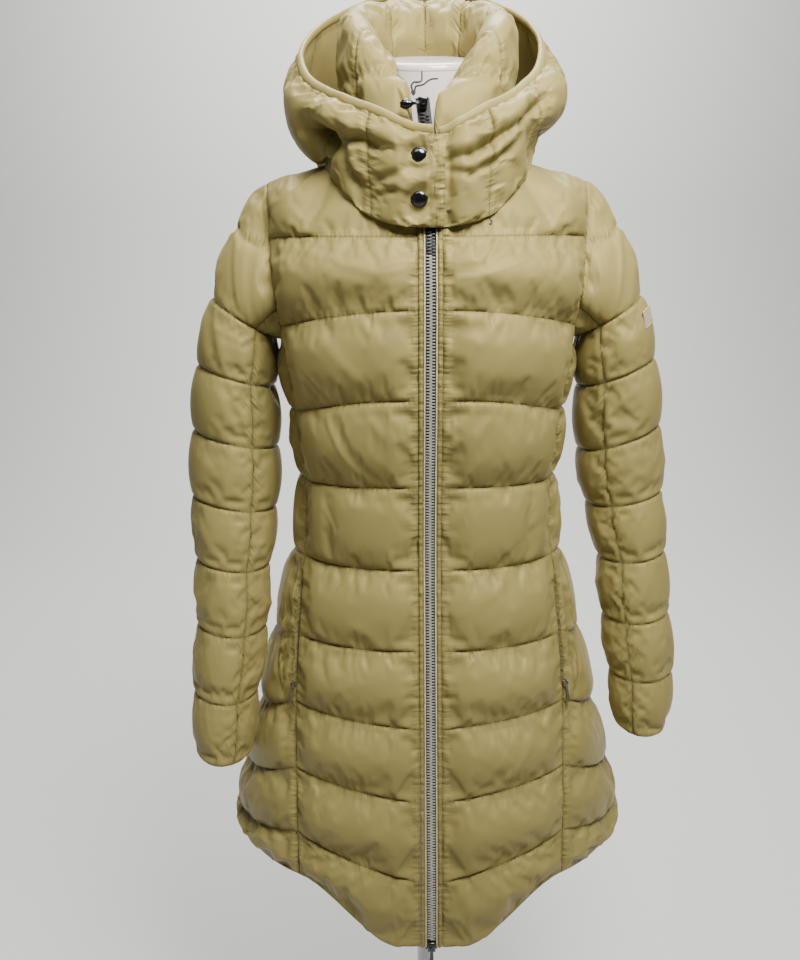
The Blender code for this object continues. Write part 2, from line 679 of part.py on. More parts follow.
def hood_half(name, mirror, finish):
    left = mirror < 0
    start = -OVERLAP_DEG if left else 0.5
    inside = [9.5, 14, 20] if left else [8, 14, 20]
    steps = np.array([0.15, 0.5, 0.85, 1])
    edges = np.linspace(30, 180, HOOD_TURNS)
    rest = [a + (b - a) * s for a, b in zip(edges, edges[1:]) for s in steps]
    first = [start, -1, 5] if left else [start, 4]
    degrees = np.array([*first, *inside, 30, *rest])
    share = np.array([0, 0.06, 0.14, 0.22, 0.3, 0.38, 0.46, 0.54, 0.62, 0.7, 0.8, 0.9, 0.97, 1])
    turn, share = np.meshgrid(np.radians(degrees), share)
    if left:
        rounding = 5.0 * smoothstep(0.62, 1.0, share) * (turn < 0)
        turn = turn + np.radians(rounding) * np.clip(-np.degrees(turn) / OVERLAP_DEG, 0, 1)
    seam = np.isclose(turn, math.pi)
    turn = turn * mirror
    points, normals = hood_point(turn, share), hood_normal(turn, share)
    points[..., 0] -= np.where(seam, GAP / 2, 0) * -mirror
    away = np.abs(np.degrees(turn))
    phase = np.clip((away - 30) / 30, -1, 5)
    height = HOOD_LOFT * fade(share * 0.2, 0.02) * fade((1 - share) * 0.2, 0.02)
    channels = np.where(away > 30, swell(phase), fade(np.radians(30 - away) * 0.12, 0.025))
    height *= np.maximum(channels, 0.0)
    if left:
        height *= fade((np.degrees(turn.max(axis=1, keepdims=True) - turn)) * 0.0021, 0.014)
        height *= snap_flat(points)
        facing = np.degrees(turn) > 0
        height = np.where(facing, height * 0.3, height)
    else:
        step_in = UNDERLAP * smoothstep(15, 8.5, away)
        height *= smoothstep(8, 17, away)
        points = points - normals * step_in[..., None]
    keep_columns = list(range(0, len(degrees) - 1, 2)) + [len(degrees) - 1]
    keep_rows = [0, 2, 4, 5, 6, 7, 8, 9, 11, 13]
    quilted(name, points, normals, height, finish, keep_rows, keep_columns)
    shown = slice(0 if left else 1, None)
    brim_binding(name, points[:, shown], normals[:, shown], finish)


def brim_binding(half, points, normals, finish):
    """The folded binding: a thin tube along the brim of one half of the hood."""
    edge, side = points[-1], normals[-1]
    up = unit(edge - points[-2])
    centre = edge + up * (BINDING_RADIUS + BINDING_LIFT) - side * WALL / 2
    ring = np.radians(np.arange(8) * 45 + 22.5)[:, None]
    rings = [
        middle + BINDING_RADIUS * (out * np.cos(ring) + rise * np.sin(ring))
        for middle, out, rise in zip(centre, side, up)
    ]
    loft(half.replace("hood", "brim_binding"), np.array(rings), finish)


def neck_point(turn):
    """The neck seam: top edge of the front and back panels."""
    front = np.cos(turn) > 0
    x = NECK_X * np.sin(turn)
    z = NECK_Z - np.where(front, NECK_DIP_FRONT, NECK_DIP_BACK) * np.abs(np.cos(turn))
    y = np.where(front, -depth(x, z, "front"), depth(x, z, "back"))
    return np.stack([x, y, z], -1)


def collar(finish):
    """A closed loft: up the outside, over the rounded top and down the inside."""
    per_turn = 4
    count = COLLAR_TURNS * per_turn
    share = np.linspace(-1, 1, count + 1)
    profile = np.linspace(0, 1, 15)
    lean = smoothstep(0.2, 0.5, profile) * smoothstep(0.8, 0.5, profile)
    start = COLLAR_START_DEG + (COLLAR_V_DEG - COLLAR_START_DEG) * lean
    rings = []
    for s in share:
        turn = np.radians(start + (180 - start) * (1 - abs(s))) * (1 if s > 0 else -1)
        turn = turn - math.radians(COLLAR_LEAN_DEG) * abs(s) ** 8 * np.sin(np.pi * profile) ** 2
        away = degrees_round(turn)
        neck = neck_point(turn)
        outward = unit(neck * np.array([1, 1, 0]))
        outer, thick, top = COLLAR("radius", away), COLLAR("thickness", away), COLLAR("top", away)
        low = neck[:, 2]
        controls = [
            neck + outward * 0.004 + np.array([0, 0, COLLAR_LIFT]),
            polar(turn, outer - 0.003, low + 0.028),
            polar(turn, outer, (low + top) / 2),
            polar(turn, outer - 0.002, top - 0.016),
            polar(turn, outer - thick / 2, top),
            polar(turn, outer - thick + 0.002, top - 0.016),
            polar(turn, outer - thick, (low + top) / 2),
            polar(turn, outer - 0.85 * thick, low + 0.028),
            neck - outward * 0.004 + np.array([0, 0, COLLAR_LIFT]),
        ]
        points = spline(controls, profile)
        middle = polar(turn, outer - thick / 2, (low + top) / 2)
        swollen = COLLAR_LOFT * swell(np.array([(1 - abs(s)) * COLLAR_TURNS / 2]))
        swollen = swollen * fade(profile, 0.12) * fade(1 - profile, 0.12)
        points = points + unit(points - middle) * swollen[:, None]
        rings.append(points)
    return loft("collar", np.array(rings), finish)


# Zip


def front_line(z):
    """Centre front of the coat, and of the collar above the neck seam."""
    z = np.asarray(z, float)
    low = -depth(0 * z, z, "front") - GAP / 2
    mix = smoothstep(1.285, 1.30, z)
    y = low * (1 - mix) + COLLAR_ZIP("y", z) * mix
    return np.stack([COLLAR_ZIP("x", z), y, z], -1)


def front_normal(z):
    step = 1e-3
    along = front_line(z + step) - front_line(z - step)
    return unit(np.stack([0 * z, -along[..., 2], along[..., 1]], -1))


def front_strip(name, half_width, z, layer, finish):
    line, normal = front_line(z), front_normal(z)
    edges = [line + np.array([x, 0, 0]) for x in (-half_width, half_width)]
    strip(name, np.stack(edges, 1), np.stack([normal, normal], 1), *layer, finish)


def guard_strip(name, mirror, finish):
    """A stitched strip of cloth beside the zip, from the hem to the neck seam."""
    z = np.linspace(LINES("centre", 0) + 0.001, 1.283, 28)
    line, normal = front_line(z), front_normal(z)
    inner, outer = ZIP_HALF + GAP, ZIP_HALF + GAP + GUARD_WIDTH
    edges = [line + np.array([mirror * x, 0, 0]) for x in (inner, (inner + outer) / 2, outer)]
    surface = np.stack(edges, 1)
    normals = np.stack([normal] * 3, 1)
    crown = np.array([0.0012, 0.0032, 0.0012])[None, :, None]
    rows = list(range(len(z)))
    wall(name, surface + normals * crown, surface - normals * 0.0012, rows, [0, 1, 2], finish)


def frame_on(point, normal, lean=0.0):
    """Axes on the cloth: X across, -Y out along the normal, Z up, then leant over about the normal."""
    back = -Vector(normal)
    across = back.cross(Vector((0, 0, 1))).normalized()
    axes = Matrix((across, back, across.cross(back))).transposed().to_4x4()
    return Matrix.Translation(Vector(point)) @ axes @ Matrix.Rotation(lean, 4, "Y")


def block(name, size, centre, frame, finish, bevel=0.0):
    """A box placed in a frame, with its place in its mesh."""
    bm = bmesh.new()
    bmesh.ops.create_cube(bm, size=1)
    bmesh.ops.scale(bm, vec=size, verts=bm.verts)
    if bevel:
        bmesh.ops.bevel(bm, geom=bm.edges, offset=bevel, segments=1, affect="EDGES", profile=0.5)
    bm.transform(frame @ Matrix.Translation(centre))
    mesh = bpy.data.meshes.new(name)
    bm.to_mesh(mesh)
    bm.free()
    return add_object(name, mesh, finish)


def to_cutters(obj):
    bpy.data.collections["puffer_coat_on_form"].objects.unlink(obj)
    bpy.data.collections["cutters"].objects.link(obj)
    obj.hide_render = True
    obj.display_type = "WIRE"


def zip_slider(name, size, tongue, frame, hinge_frame, finish):
    """A slider with two lugs on its face, which hold the tongue of a pull tab between them."""
    body = block(name, size, (0, -size[1] / 2, 0), frame, finish, bevel=0.0008)
    for side in (-1, 1):
        place = (side * (tongue / 2 + HINGE_GAP + LUG / 2), -LUG_REACH / 2 + 0.0006, 0)
        lug_size = (LUG, LUG_REACH + 0.0012, LUG_REACH)
        lug = block(f"{name}_lug_{(side + 3) // 2}", lug_size, place, hinge_frame, finish)
        join = body.modifiers.new("lug", "BOOLEAN")
        join.operation = "UNION"
        join.object = lug
        to_cutters(lug)


def pull_tab(name, size, tongue, hinge_frame, finish):
    """A flat tab whose origin is on its hinge, with a narrow tongue between the slider's lugs."""
    width, thickness, length, neck = size
    corner = width * 0.25
    side = [
        (tongue / 2, 0.0007),
        (tongue / 2, -neck),
        (width / 2, -neck - corner),
        (width / 2, -length + corner),
        (width / 2 - corner, -length),
    ]
    outline = side + [(-x, z) for x, z in reversed(side)]
    rings = [[(x, y, z) for x, z in outline] for y in (-thickness / 2, thickness / 2)]
    tab = loft(name, np.array(rings), finish)
    tab.matrix_world = hinge_frame @ Matrix.Translation((0, -LUG_REACH / 2, 0))


def slider_with_pull(place, size, pull, seat, normal, lean, finish):
    """A slider standing on the cloth at seat, with its pull tab on a hinge in the middle of its face."""
    tongue = min(size[0] - 2 * (LUG + HINGE_GAP), 0.0030) - 0.0002
    face = Vector(seat) + Vector(normal) * size[1]
    hinge_frame = frame_on(face, normal, lean)
    zip_slider(f"{place[0]}slider{place[1]}", size, tongue, frame_on(seat, normal), hinge_frame, finish)
    pull_tab(f"{place[0]}pull{place[1]}", pull, tongue, hinge_frame, finish)


def centre_zip(black, grey):
    low, high = ZIP_BOTTOM + SLIDER[2] + GAP, ZIP_TOP - SLIDER[2] - GAP
    z = np.array([ZIP_BOTTOM, *np.linspace(low, high, 34), ZIP_TOP])
    front_strip("zip_tape", ZIP_HALF, z, TAPE_LAYER, black)
    front_strip("zip_teeth", TEETH_HALF, z[1:-1], TEETH_LAYER, grey)
    ends = {"_top": (ZIP_TOP, -1, TOP_PULL, TOP_LEAN), "_bottom": (ZIP_BOTTOM, 1, BOTTOM_PULL, 0)}
    for name, (end, inward, pull, lean) in ends.items():
        z = np.array([end + inward * SLIDER[2] / 2])
        normal = front_normal(z)[0]
        seat = front_line(z)[0] + normal * TEETH_LAYER[0]
        slider_with_pull(("", name), SLIDER, pull, seat, normal, lean, black)


def pocket_zips(black, grey):
    for side, mirror in (("left", -1), ("right", 1)):
        z = np.linspace(POCKET_BOTTOM + 0.021, POCKET_TOP - 0.026, 8)
        x = BODY("edge", z)
        line, normal = body_point(x, z, "front"), body_normal(x, z, "front")
        across = unit(np.cross(normal, np.gradient(line, axis=0)))
        half = POCKET_HALF - 2.5 * GAP
        edges = [line - across * half, line + across * half]
        surface, normals = np.stack(edges, 1), np.stack([normal, normal], 1)
        for grid in (surface, normals):
            grid[..., 0] *= mirror
        strip(f"pocket_zip_{side}", surface, normals, -0.0028, -0.0012, black)
        z = np.array([POCKET_BOTTOM + 0.006])
        x = BODY("edge", z)
        flip = np.array([mirror, 1, 1])
        normal = body_normal(x, z, "front")[0] * flip
        seat = body_point(x, z, "front")[0] * flip + normal * POCKET_SLIDER_LIFT
        place = ("pocket_", f"_{side}")
        slider_with_pull(place, POCKET_SLIDER, POCKET_PULL, seat, normal, 0, grey)


# Small pieces on the cloth


def snap_caps(finish):
    """Domed caps on the hood's front overlap."""
    for name, z in zip(("upper", "lower"), SNAP_Z):
        share = np.interp(z, (HOOD("base_z", 0), HOOD("brim_z", 0)), (0, 1))
        turn = np.array([math.asin(SNAP_X / HOOD("out_r", 0))])
        seat, normal = hood_point(turn, np.array([share]))[0], hood_normal(turn, np.array([share]))[0]
        frame = frame_on(seat + normal * SNAP_LIFT, normal)
        tilt = np.radians([0, 4, 35, 62, 84])
        radii = SNAP_RADIUS * np.array([0.93, 1, 0.86, 0.52, 0.12])
        heights = SNAP_HEIGHT * np.sin(tilt)
        around = np.radians(np.arange(16) * 22.5)
        rings = [
            [frame @ Vector((r * math.cos(a), -h, r * math.sin(a))) for a in around]
            for r, h in zip(radii, heights)
        ]
        loft(f"snap_cap_{name}", np.array(rings), finish)


def sleeve_patch(finish):
    """The bare patch on the right sleeve, laid on the swollen cloth."""
    table = SLEEVES["right"]
    turn, along = np.meshgrid(np.radians(np.linspace(*PATCH_TURNS, 5)), 1 + np.linspace(*PATCH_ALONG, 5))
    points, normals = sleeve_point(table, turn, along), sleeve_normal(table, turn, along)
    strip("sleeve_patch", points, normals, SLEEVE_LOFT + GAP, SLEEVE_LOFT + GAP + PATCH_THICKNESS, finish)


def hood_loop(finish):
    """A small cord loop that hangs out from under the hood's band."""
    z = np.array([LOOP_Z])
    x = np.array([LOOP_X])
    normal = body_normal(x, z, "front")[0]
    seat = body_point(x, z, "front")[0] + normal * (LOOP_CORD + 2 * GAP)
    bpy.ops.mesh.primitive_torus_add(
        major_segments=12, minor_segments=6, major_radius=LOOP_RADIUS, minor_radius=LOOP_CORD
    )
    obj = bpy.context.object
    obj.name = obj.data.name = "hood_loop"
    obj.matrix_world = frame_on(seat, normal) @ Matrix.Rotation(math.pi / 2, 4, "X")
    obj.data.materials.append(finish)
    for holder in list(obj.users_collection):
        holder.objects.unlink(obj)
    bpy.data.collections["puffer_coat_on_form"].objects.link(obj)


# Dress form


def oval(half_width, front, back, z, sides=24, power=2.2):
    turn = np.arange(sides) * 2 * math.pi / sides
    x = half_width * np.sign(np.sin(turn)) * np.abs(np.sin(turn)) ** (2 / power)
    reach = np.where(np.cos(turn) > 0, -front, back)
    y = reach * np.abs(np.cos(turn)) ** (2 / power)
    return np.stack([x, y, z + 0 * x], -1)


def dress_form(white, metal, base_finish):
    """Torso with neck, its slanted cap, the pole and the base plate."""
    heights = [FORM_BOTTOM, 0.805, 0.86, 0.93, 1.00, 1.08, 1.14, 1.20, 1.25, 1.29]
    heights += [1.31, 1.33, 1.35, 1.365, 1.40, FORM_TOP]
    rings = []
    for z in heights:
        shrink = 0.93 if z == FORM_BOTTOM else 1
        ring = oval(*(FORM(side, z) * shrink for side in ("half_width", "front", "back")), z)
        ring[:, 2] += NECK_SLOPE * ring[:, 1] * smoothstep(1.40, FORM_TOP, z)
        rings.append(ring)
    loft("form_torso", np.array(rings), white)
    cap = []
    for scale, rise in ((1.0, GAP), (1.005, GAP + 0.001), (1.0, 0.005), (0.97, 0.0072), (0.88, 0.0082)):
        ring = oval(*(FORM(side, FORM_TOP) * scale for side in ("half_width", "front", "back")), FORM_TOP)
        ring[:, 2] += NECK_SLOPE * ring[:, 1] + rise
        cap.append(ring)
    loft("form_neck_cap", np.array(cap), white)
    pole_length = FORM_BOTTOM - BASE_THICKNESS - 2 * GAP
    drum("form_pole", POLE_RADIUS, pole_length, metal, (0, 0, BASE_THICKNESS + GAP), sides=24)
    drum("form_base", BASE_RADIUS, BASE_THICKNESS, base_finish, (0, 0, 0), sides=40, bevel=0.003)


# Pull cord


def pull_cord(finish):
    """Two free ends of thin cord, tied in a knot on the top slider."""
    for name, route in CORD_ROUTES.items():
        share = np.linspace(0, 1, CORD_POINTS)
        places = spline([np.tile(point, (CORD_POINTS, 1)) for point in route], share)
        curve = bpy.data.curves.new(name, "CURVE")
        curve.dimensions = "3D"
        curve.bevel_depth = CORD_DIAMETER / 2
        curve.bevel_resolution = 2
        curve.use_fill_caps = True
        path = curve.splines.new("POLY")
        path.points.add(len(places) - 1)
        for point, place in zip(path.points, places):
            point.co = (*place, 1)
        add_object(name, curve, finish)
    bm = bmesh.new()
    bmesh.ops.create_uvsphere(bm, u_segments=10, v_segments=6, radius=KNOT_RADIUS)
    mesh = bpy.data.meshes.new("pull_cord_knot")
    bm.to_mesh(mesh)
    bm.free()
    add_object("pull_cord_knot", mesh, finish, KNOT_PLACE)


def build():
    for obj in list(bpy.data.objects):
        bpy.data.objects.remove(obj, do_unlink=True)
    collection = bpy.data.collections.new("puffer_coat_on_form")
    bpy.context.scene.collection.children.link(collection)
    bpy.context.scene.collection.children.link(bpy.data.collections.new("cutters"))
    black = material("zip_black", (0.012, 0.012, 0.013), 0.3)
    grey = material("zip_grey", (0.33, 0.33, 0.32), 0.45)
    white = material("form_white_gloss", (0.78, 0.77, 0.74), 0.2)
    metal = material("pole_steel", (0.5, 0.5, 0.5), 0.3, metallic=1.0)
    base_finish = material("base_grey", (0.45, 0.45, 0.45), 0.4, metallic=0.6)
    nylon = material("nylon_olive_gold", (0.34, 0.29, 0.125), 0.42, sheen=0.3)
    front_panel("front_left", -1, nylon)
    front_panel("front_right", 1, nylon)
    side_panel("side_left", -1, nylon)
    side_panel("side_right", 1, nylon)
    back_panel(nylon)
    sleeves(nylon)
    hood_half("hood_left", -1, nylon)
    hood_half("hood_right", 1, nylon)
    collar(nylon)
    guard_strip("zip_guard_left", -1, nylon)
    guard_strip("zip_guard_right", 1, nylon)
    centre_zip(black, grey)
    pocket_zips(black, grey)
    snap_caps(black)
    sleeve_patch(nylon)
    hood_loop(black)
    pull_cord(black)
    dress_form(white, metal, base_finish)


build()
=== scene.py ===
"""The finish of a long quilted puffer coat, zipped up on a limbless dress form.

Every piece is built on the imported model: its stitched surface comes from the model's own tables and
functions, with the hood hung a little differently, and the cloth is then blown up between its stitch
lines. Metres, +Z up. The front faces -Y, and left and right are as seen from the front, left at -X.
"""

import math

import bmesh
import bpy
import numpy as np
from bpy.props import FloatProperty, FloatVectorProperty, IntProperty, PointerProperty
from mathutils import Matrix, Vector


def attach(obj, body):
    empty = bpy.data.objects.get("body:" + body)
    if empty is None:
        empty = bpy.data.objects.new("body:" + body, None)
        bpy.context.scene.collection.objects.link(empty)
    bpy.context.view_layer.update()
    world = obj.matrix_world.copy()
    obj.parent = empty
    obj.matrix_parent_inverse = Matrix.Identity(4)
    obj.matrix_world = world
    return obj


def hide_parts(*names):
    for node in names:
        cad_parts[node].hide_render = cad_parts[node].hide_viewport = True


bl_info = {
    "name": "Long puffer coat on a dress form",
    "version": (1, 0, 0),
    "blender": (4, 5, 0),
    "location": "View3D > Sidebar > Coat",
    "description": "Quilted coat with a folded hood and a two-way zip, on a limbless dress form",
    "category": "Add Mesh",
}

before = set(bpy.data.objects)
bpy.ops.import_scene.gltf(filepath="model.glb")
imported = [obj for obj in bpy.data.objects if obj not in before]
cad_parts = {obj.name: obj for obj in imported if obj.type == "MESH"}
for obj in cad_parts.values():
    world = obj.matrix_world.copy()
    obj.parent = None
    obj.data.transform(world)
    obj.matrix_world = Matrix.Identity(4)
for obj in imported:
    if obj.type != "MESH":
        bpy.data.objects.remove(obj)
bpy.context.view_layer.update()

# Cloth
GAP = 0.0003  # between neighbouring pieces
WALL = 0.003  # thickness where the layers are stitched together
SEAM_FADE = 0.034  # distance over which a channel flattens towards a seam
SIDES = (("left", -1), ("right", 1))  # each side of the coat, and the sign of its X
BODY_LINES = np.arange(10)  # stitch lines of a front panel or the back
SIDE_LINES = np.arange(8)  # stitch lines of a side panel
PANEL_WIDTH, SIDE_WIDTH = 0.15, 0.24  # rough widths of half the front or back, and of a side panel
BODY_ROWS, SLEEVE_ROWS, CAP_ROWS = 14, 13, 20  # rows of points in a channel, and over a sleeve cap
HOOD_ROWS, HOOD_COLUMNS = 44, 14  # rows from neck seam to brim, and columns in a channel
COLLAR_ROWS, COLLAR_COLUMNS = 57, 16  # points of the collar's profile, and columns in a channel
HOOD_RISE = 0.2  # rough length of the hood's cloth from neck seam to brim
HOOD_DEGREE = 0.0021  # rough length of one degree along the hood's front

# Coat
SQUARENESS = 2.35  # exponent of the rounded section, 2 being an ellipse
SHOULDER_X, SHOULDER_Z = 0.187, 1.352  # end of the shoulder seam
NECK_X, NECK_Z = 0.066, 1.387  # neck end of the shoulder seam
NECK_DIP_FRONT, NECK_DIP_BACK = 0.062, 0.022  # how far the neckline dips below it
ARMPIT_Z = 1.19  # where the armhole leaves the front and back panels
ARMHOLE_DROP = 0.019  # how much lower it runs under the arm
ARMHOLE_WIDEN = 0.012  # how much wider the section is above it
SHOULDER_POWER = 1.8  # how squarely the section closes towards the shoulder seam
ZIP_HALF = 0.0073  # from the middle of the zip to its guard strip
GUARD_WIDTH = 0.0055
FRONT_START = ZIP_HALF + GUARD_WIDTH + 2 * GAP  # X at which the front panels start
POCKET_TOP, POCKET_BOTTOM = 0.885, 0.752
POCKET_HALF = 0.0016  # half-width of the slot in the princess seam

# Hood
OVERLAP_DEG = 6.6  # how far the left half laps over the right one at the front
UNDERLAP = 0.0045  # how far the right half steps in under it
LEFT_DROOP, RIGHT_LIFT = 0.016, 0.008  # how much lower or higher each lobe of the hood hangs
BRIM_SHIFT = 0.006  # how far the brim leans over to the left
SNAP_RADIUS, SNAP_LIFT = 0.0090, 0.0024  # size of a cap, and its height over the stitched surface
SNAP_X, SNAP_Z = -0.012, (1.357, 1.3165)

# Zip sliders: width, thickness, length. Pull tabs: width, thickness, length, length of the neck.
SLIDER = (0.0105, 0.0052, 0.012)
TOP_PULL = (0.0110, 0.0020, 0.0240, 0.0100)
BOTTOM_PULL = (0.0052, 0.0014, 0.0200, 0.0024)
POCKET_SLIDER = (0.0052, 0.0030, 0.0080)
POCKET_PULL = (0.0046, 0.0012, 0.0240, 0.0024)
POCKET_SLIDER_LIFT = 0.0030
TOP_LEAN = math.radians(84)  # how far the top pull leans to one side
TOP_BEAD = 0.0053  # radius of the drop moulded over it
LUG = 0.0010  # thickness of the two lugs that hold a pull tab
LUG_REACH = 0.0028  # how far they stand out from the slider
HINGE_GAP = 0.0004  # between a pull tab and each lug
TEETH_BACK = 0.0009  # how far the back of the teeth stands over the stitched surface
TEETH_HALF = 0.0048  # half-width of the closed row of teeth
GUARD_TOP = 1.2925  # where the zip guards end, under the hood's band
BLACK_TEETH_FROM = 1.262  # height from which the teeth are black

# Small pieces
# Steps of a snap's dome: how far each rises, and how much narrower it is than the last
SNAP_DOME = ((0.0009, 0.96), (0.0009, 0.88), (0.0007, 0.76), (0.0005, 0.55), (0.0002, 0.3))
PATCH_TURNS = (27, 57)  # degrees round the right sleeve from its outer side
PATCH_ALONG = (0.022, 0.058)  # share of the sleeve's length below its cap
PATCH_LIFT, PATCH_THICKNESS = 0.0093, 0.0012  # height over the sleeve's stitched surface
PATCH_POINTS = 33  # along each of its edges
LOOP_X, LOOP_Z, LOOP_RADIUS, LOOP_CORD = 0.062, 1.2975, 0.0034, 0.0010

# Pull cord, from its knot to its two free ends
CORD_DIAMETER, CORD_POINTS = 0.0019, 13
KNOT_PLACE, KNOT_RADIUS = (-0.0175, -0.1085, 1.4228), 0.0022
CORD_ROUTES = {
    "pull_cord_end_1": [
        (-0.0185, -0.1085, 1.4254), (-0.0196, -0.1100, 1.4290), (-0.0170, -0.1108, 1.4320),
        (-0.0125, -0.1085, 1.4325), (-0.0092, -0.1060, 1.4345), (-0.0086, -0.1040, 1.4390),
        (-0.0088, -0.1020, 1.4440),
    ],
    "pull_cord_end_2": [
        (-0.0160, -0.1090, 1.4252), (-0.0150, -0.1105, 1.4280), (-0.0110, -0.1105, 1.4290),
        (-0.0070, -0.1085, 1.4305), (-0.0030, -0.1060, 1.4340), (0.0020, -0.1040, 1.4365),
        (0.0078, -0.1030, 1.4370),
    ],
}

# Dress form
FORM_TOP = 1.476
BASE_RADIUS, BASE_THICKNESS = 0.165, 0.012
POLE_RADIUS = 0.0125
FORM_BOTTOM = 0.80
NECK_SLOPE = 0.36  # rise of the neck's slanted top from front to back
# Rings of the neck's cap, from its edge to its middle: their size against the neck, and their rise
NECK_CAP = (
    (1.0, GAP),
    (1.004, GAP + 0.0006),
    (1.005, 0.002),
    (1.004, 0.0045),
    (0.99, 0.0062),
    (0.96, 0.0073),
    (0.88, 0.0080),
    (0.6, 0.0084),
    (0.2, 0.0086),
)


class Table:
    """Rows of named columns, read at any value of the first column on a smooth curve."""

    def __init__(self, columns, rows, level_ends=False):
        self.names = columns.split()
        self.data = np.array(sorted(rows)).T
        self.level_ends = level_ends

    def __call__(self, name, at):
        places, values = self.data[0], self.data[self.names.index(name)]
        slopes = np.gradient(values, places)
        if self.level_ends:
            slopes[[0, -1]] = 0
        at = np.clip(at, places[0], places[-1])
        i = np.clip(np.searchsorted(places, at) - 1, 0, len(places) - 2)
        span = places[i + 1] - places[i]
        t = (at - places[i]) / span
        return (
            (2 * t**3 - 3 * t**2 + 1) * values[i]
            + (t**3 - 2 * t**2 + t) * span * slopes[i]
            + (3 * t**2 - 2 * t**3) * values[i + 1]
            + (t**3 - t**2) * span * slopes[i + 1]
        )


# Stitched surface of the body. edge and back_edge are the half-distances between the seams.
BODY = Table(
    "z half_width front back edge back_edge",
    [
        (1.352, 0.180, 0.131, 0.118, 0.187, 0.187),
        (1.280, 0.180, 0.131, 0.118, 0.181, 0.181),
        (1.190, 0.179, 0.131, 0.118, 0.172, 0.172),
        (1.100, 0.167, 0.128, 0.112, 0.160, 0.153),
        (1.000, 0.157, 0.119, 0.110, 0.149, 0.138),
        (0.930, 0.162, 0.119, 0.114, 0.151, 0.137),
        (0.860, 0.180, 0.130, 0.128, 0.158, 0.142),
        (0.780, 0.201, 0.146, 0.139, 0.163, 0.148),
        (0.675, 0.223, 0.164, 0.152, 0.164, 0.154),
        (0.613, 0.240, 0.175, 0.161, 0.163, 0.157),
        (0.548, 0.253, 0.184, 0.169, 0.162, 0.160),
        (0.440, 0.277, 0.192, 0.178, 0.158, 0.164),
    ],
)

# Stitch lines, hem to chest: height at the centre front, princess seam, back seam and centre back,
# how far the line sags between the two seams of a side panel, and the power of its bend across a
# front panel.
LINES = Table(
    "line centre princess back_seam centre_back sag bend",
    [
        (0, 0.453, 0.528, 0.503, 0.482, -0.012, 1.5),
        (1, 0.5405, 0.582, 0.572, 0.560, 0.030, 1.15),
        (2, 0.638, 0.659, 0.652, 0.645, 0.042, 1.0),
        (3, 0.7255, 0.7375, 0.733, 0.730, 0.036, 0.9),
        (4, 0.817, 0.818, 0.817, 0.816, 0.020, 1.5),
        (5, 0.911, 0.911, 0.911, 0.910, 0.006, 1.5),
        (6, 1.010, 1.005, 1.006, 1.008, 0.000, 1.5),
        (7, 1.110, 1.089, 1.094, 1.104, 0.000, 2.2),
        (8, 1.206, 1.188, 1.189, 1.200, 0.000, 2.0),
        (9, 1.282, 1.287, 1.289, 1.287, 0.000, 1.5),
    ],
)
HEM_LEVEL = 0.15  # share of a front panel's width over which its hem stays level beside the zip

# Sleeves: q is the height of a ring at its outer side, tilt the slope of the ring across the arm.
SLEEVES = {
    "left": Table(
        "q outer inner forward depth tilt",
        [
            (1.222, 0.257, 0.189, 0.000, 0.055, 0.68),
            (1.143, 0.279, 0.194, 0.000, 0.057, 0.34),
            (1.063, 0.290, 0.1935, -0.002, 0.055, 0.26),
            (0.981, 0.294, 0.198, -0.012, 0.052, 0.22),
            (0.903, 0.290, 0.207, -0.030, 0.048, 0.18),
            (0.823, 0.289, 0.212, -0.050, 0.046, 0.16),
            (0.741, 0.293, 0.223, -0.071, 0.044, 0.14),
            (0.664, 0.290, 0.230, -0.090, 0.040, 0.10),
        ],
    ),
    "right": Table(
        "q outer inner forward depth tilt",
        [
            (1.222, 0.256, 0.189, 0.000, 0.055, 0.68),
            (1.148, 0.276, 0.194, 0.000, 0.057, 0.44),
            (1.066, 0.289, 0.198, 0.000, 0.054, 0.38),
            (0.982, 0.296, 0.211, -0.006, 0.050, 0.24),
            (0.906, 0.300, 0.226, -0.022, 0.046, 0.16),
            (0.830, 0.304, 0.232, -0.040, 0.044, 0.14),
            (0.757, 0.309, 0.241, -0.056, 0.042, 0.12),
            (0.686, 0.300, 0.247, -0.070, 0.038, 0.08),
        ],
    ),
}
CAP_LINE = 1.301  # height of the stitch line across the sleeve cap, at its outer side
CAP_RISE, CAP_FORWARD = 0.042, 0.004  # how far the cap bows up and forward from a straight line
SEAM_DEG = 125  # the two sleeve seams, turned from the outer side
SEAM_GAP_DEG = 0.25  # half the gap between them
ARMHOLE_GAP = 0.0003
ARMHOLE_DEG = 135  # where the armhole passes from front panel to side panel

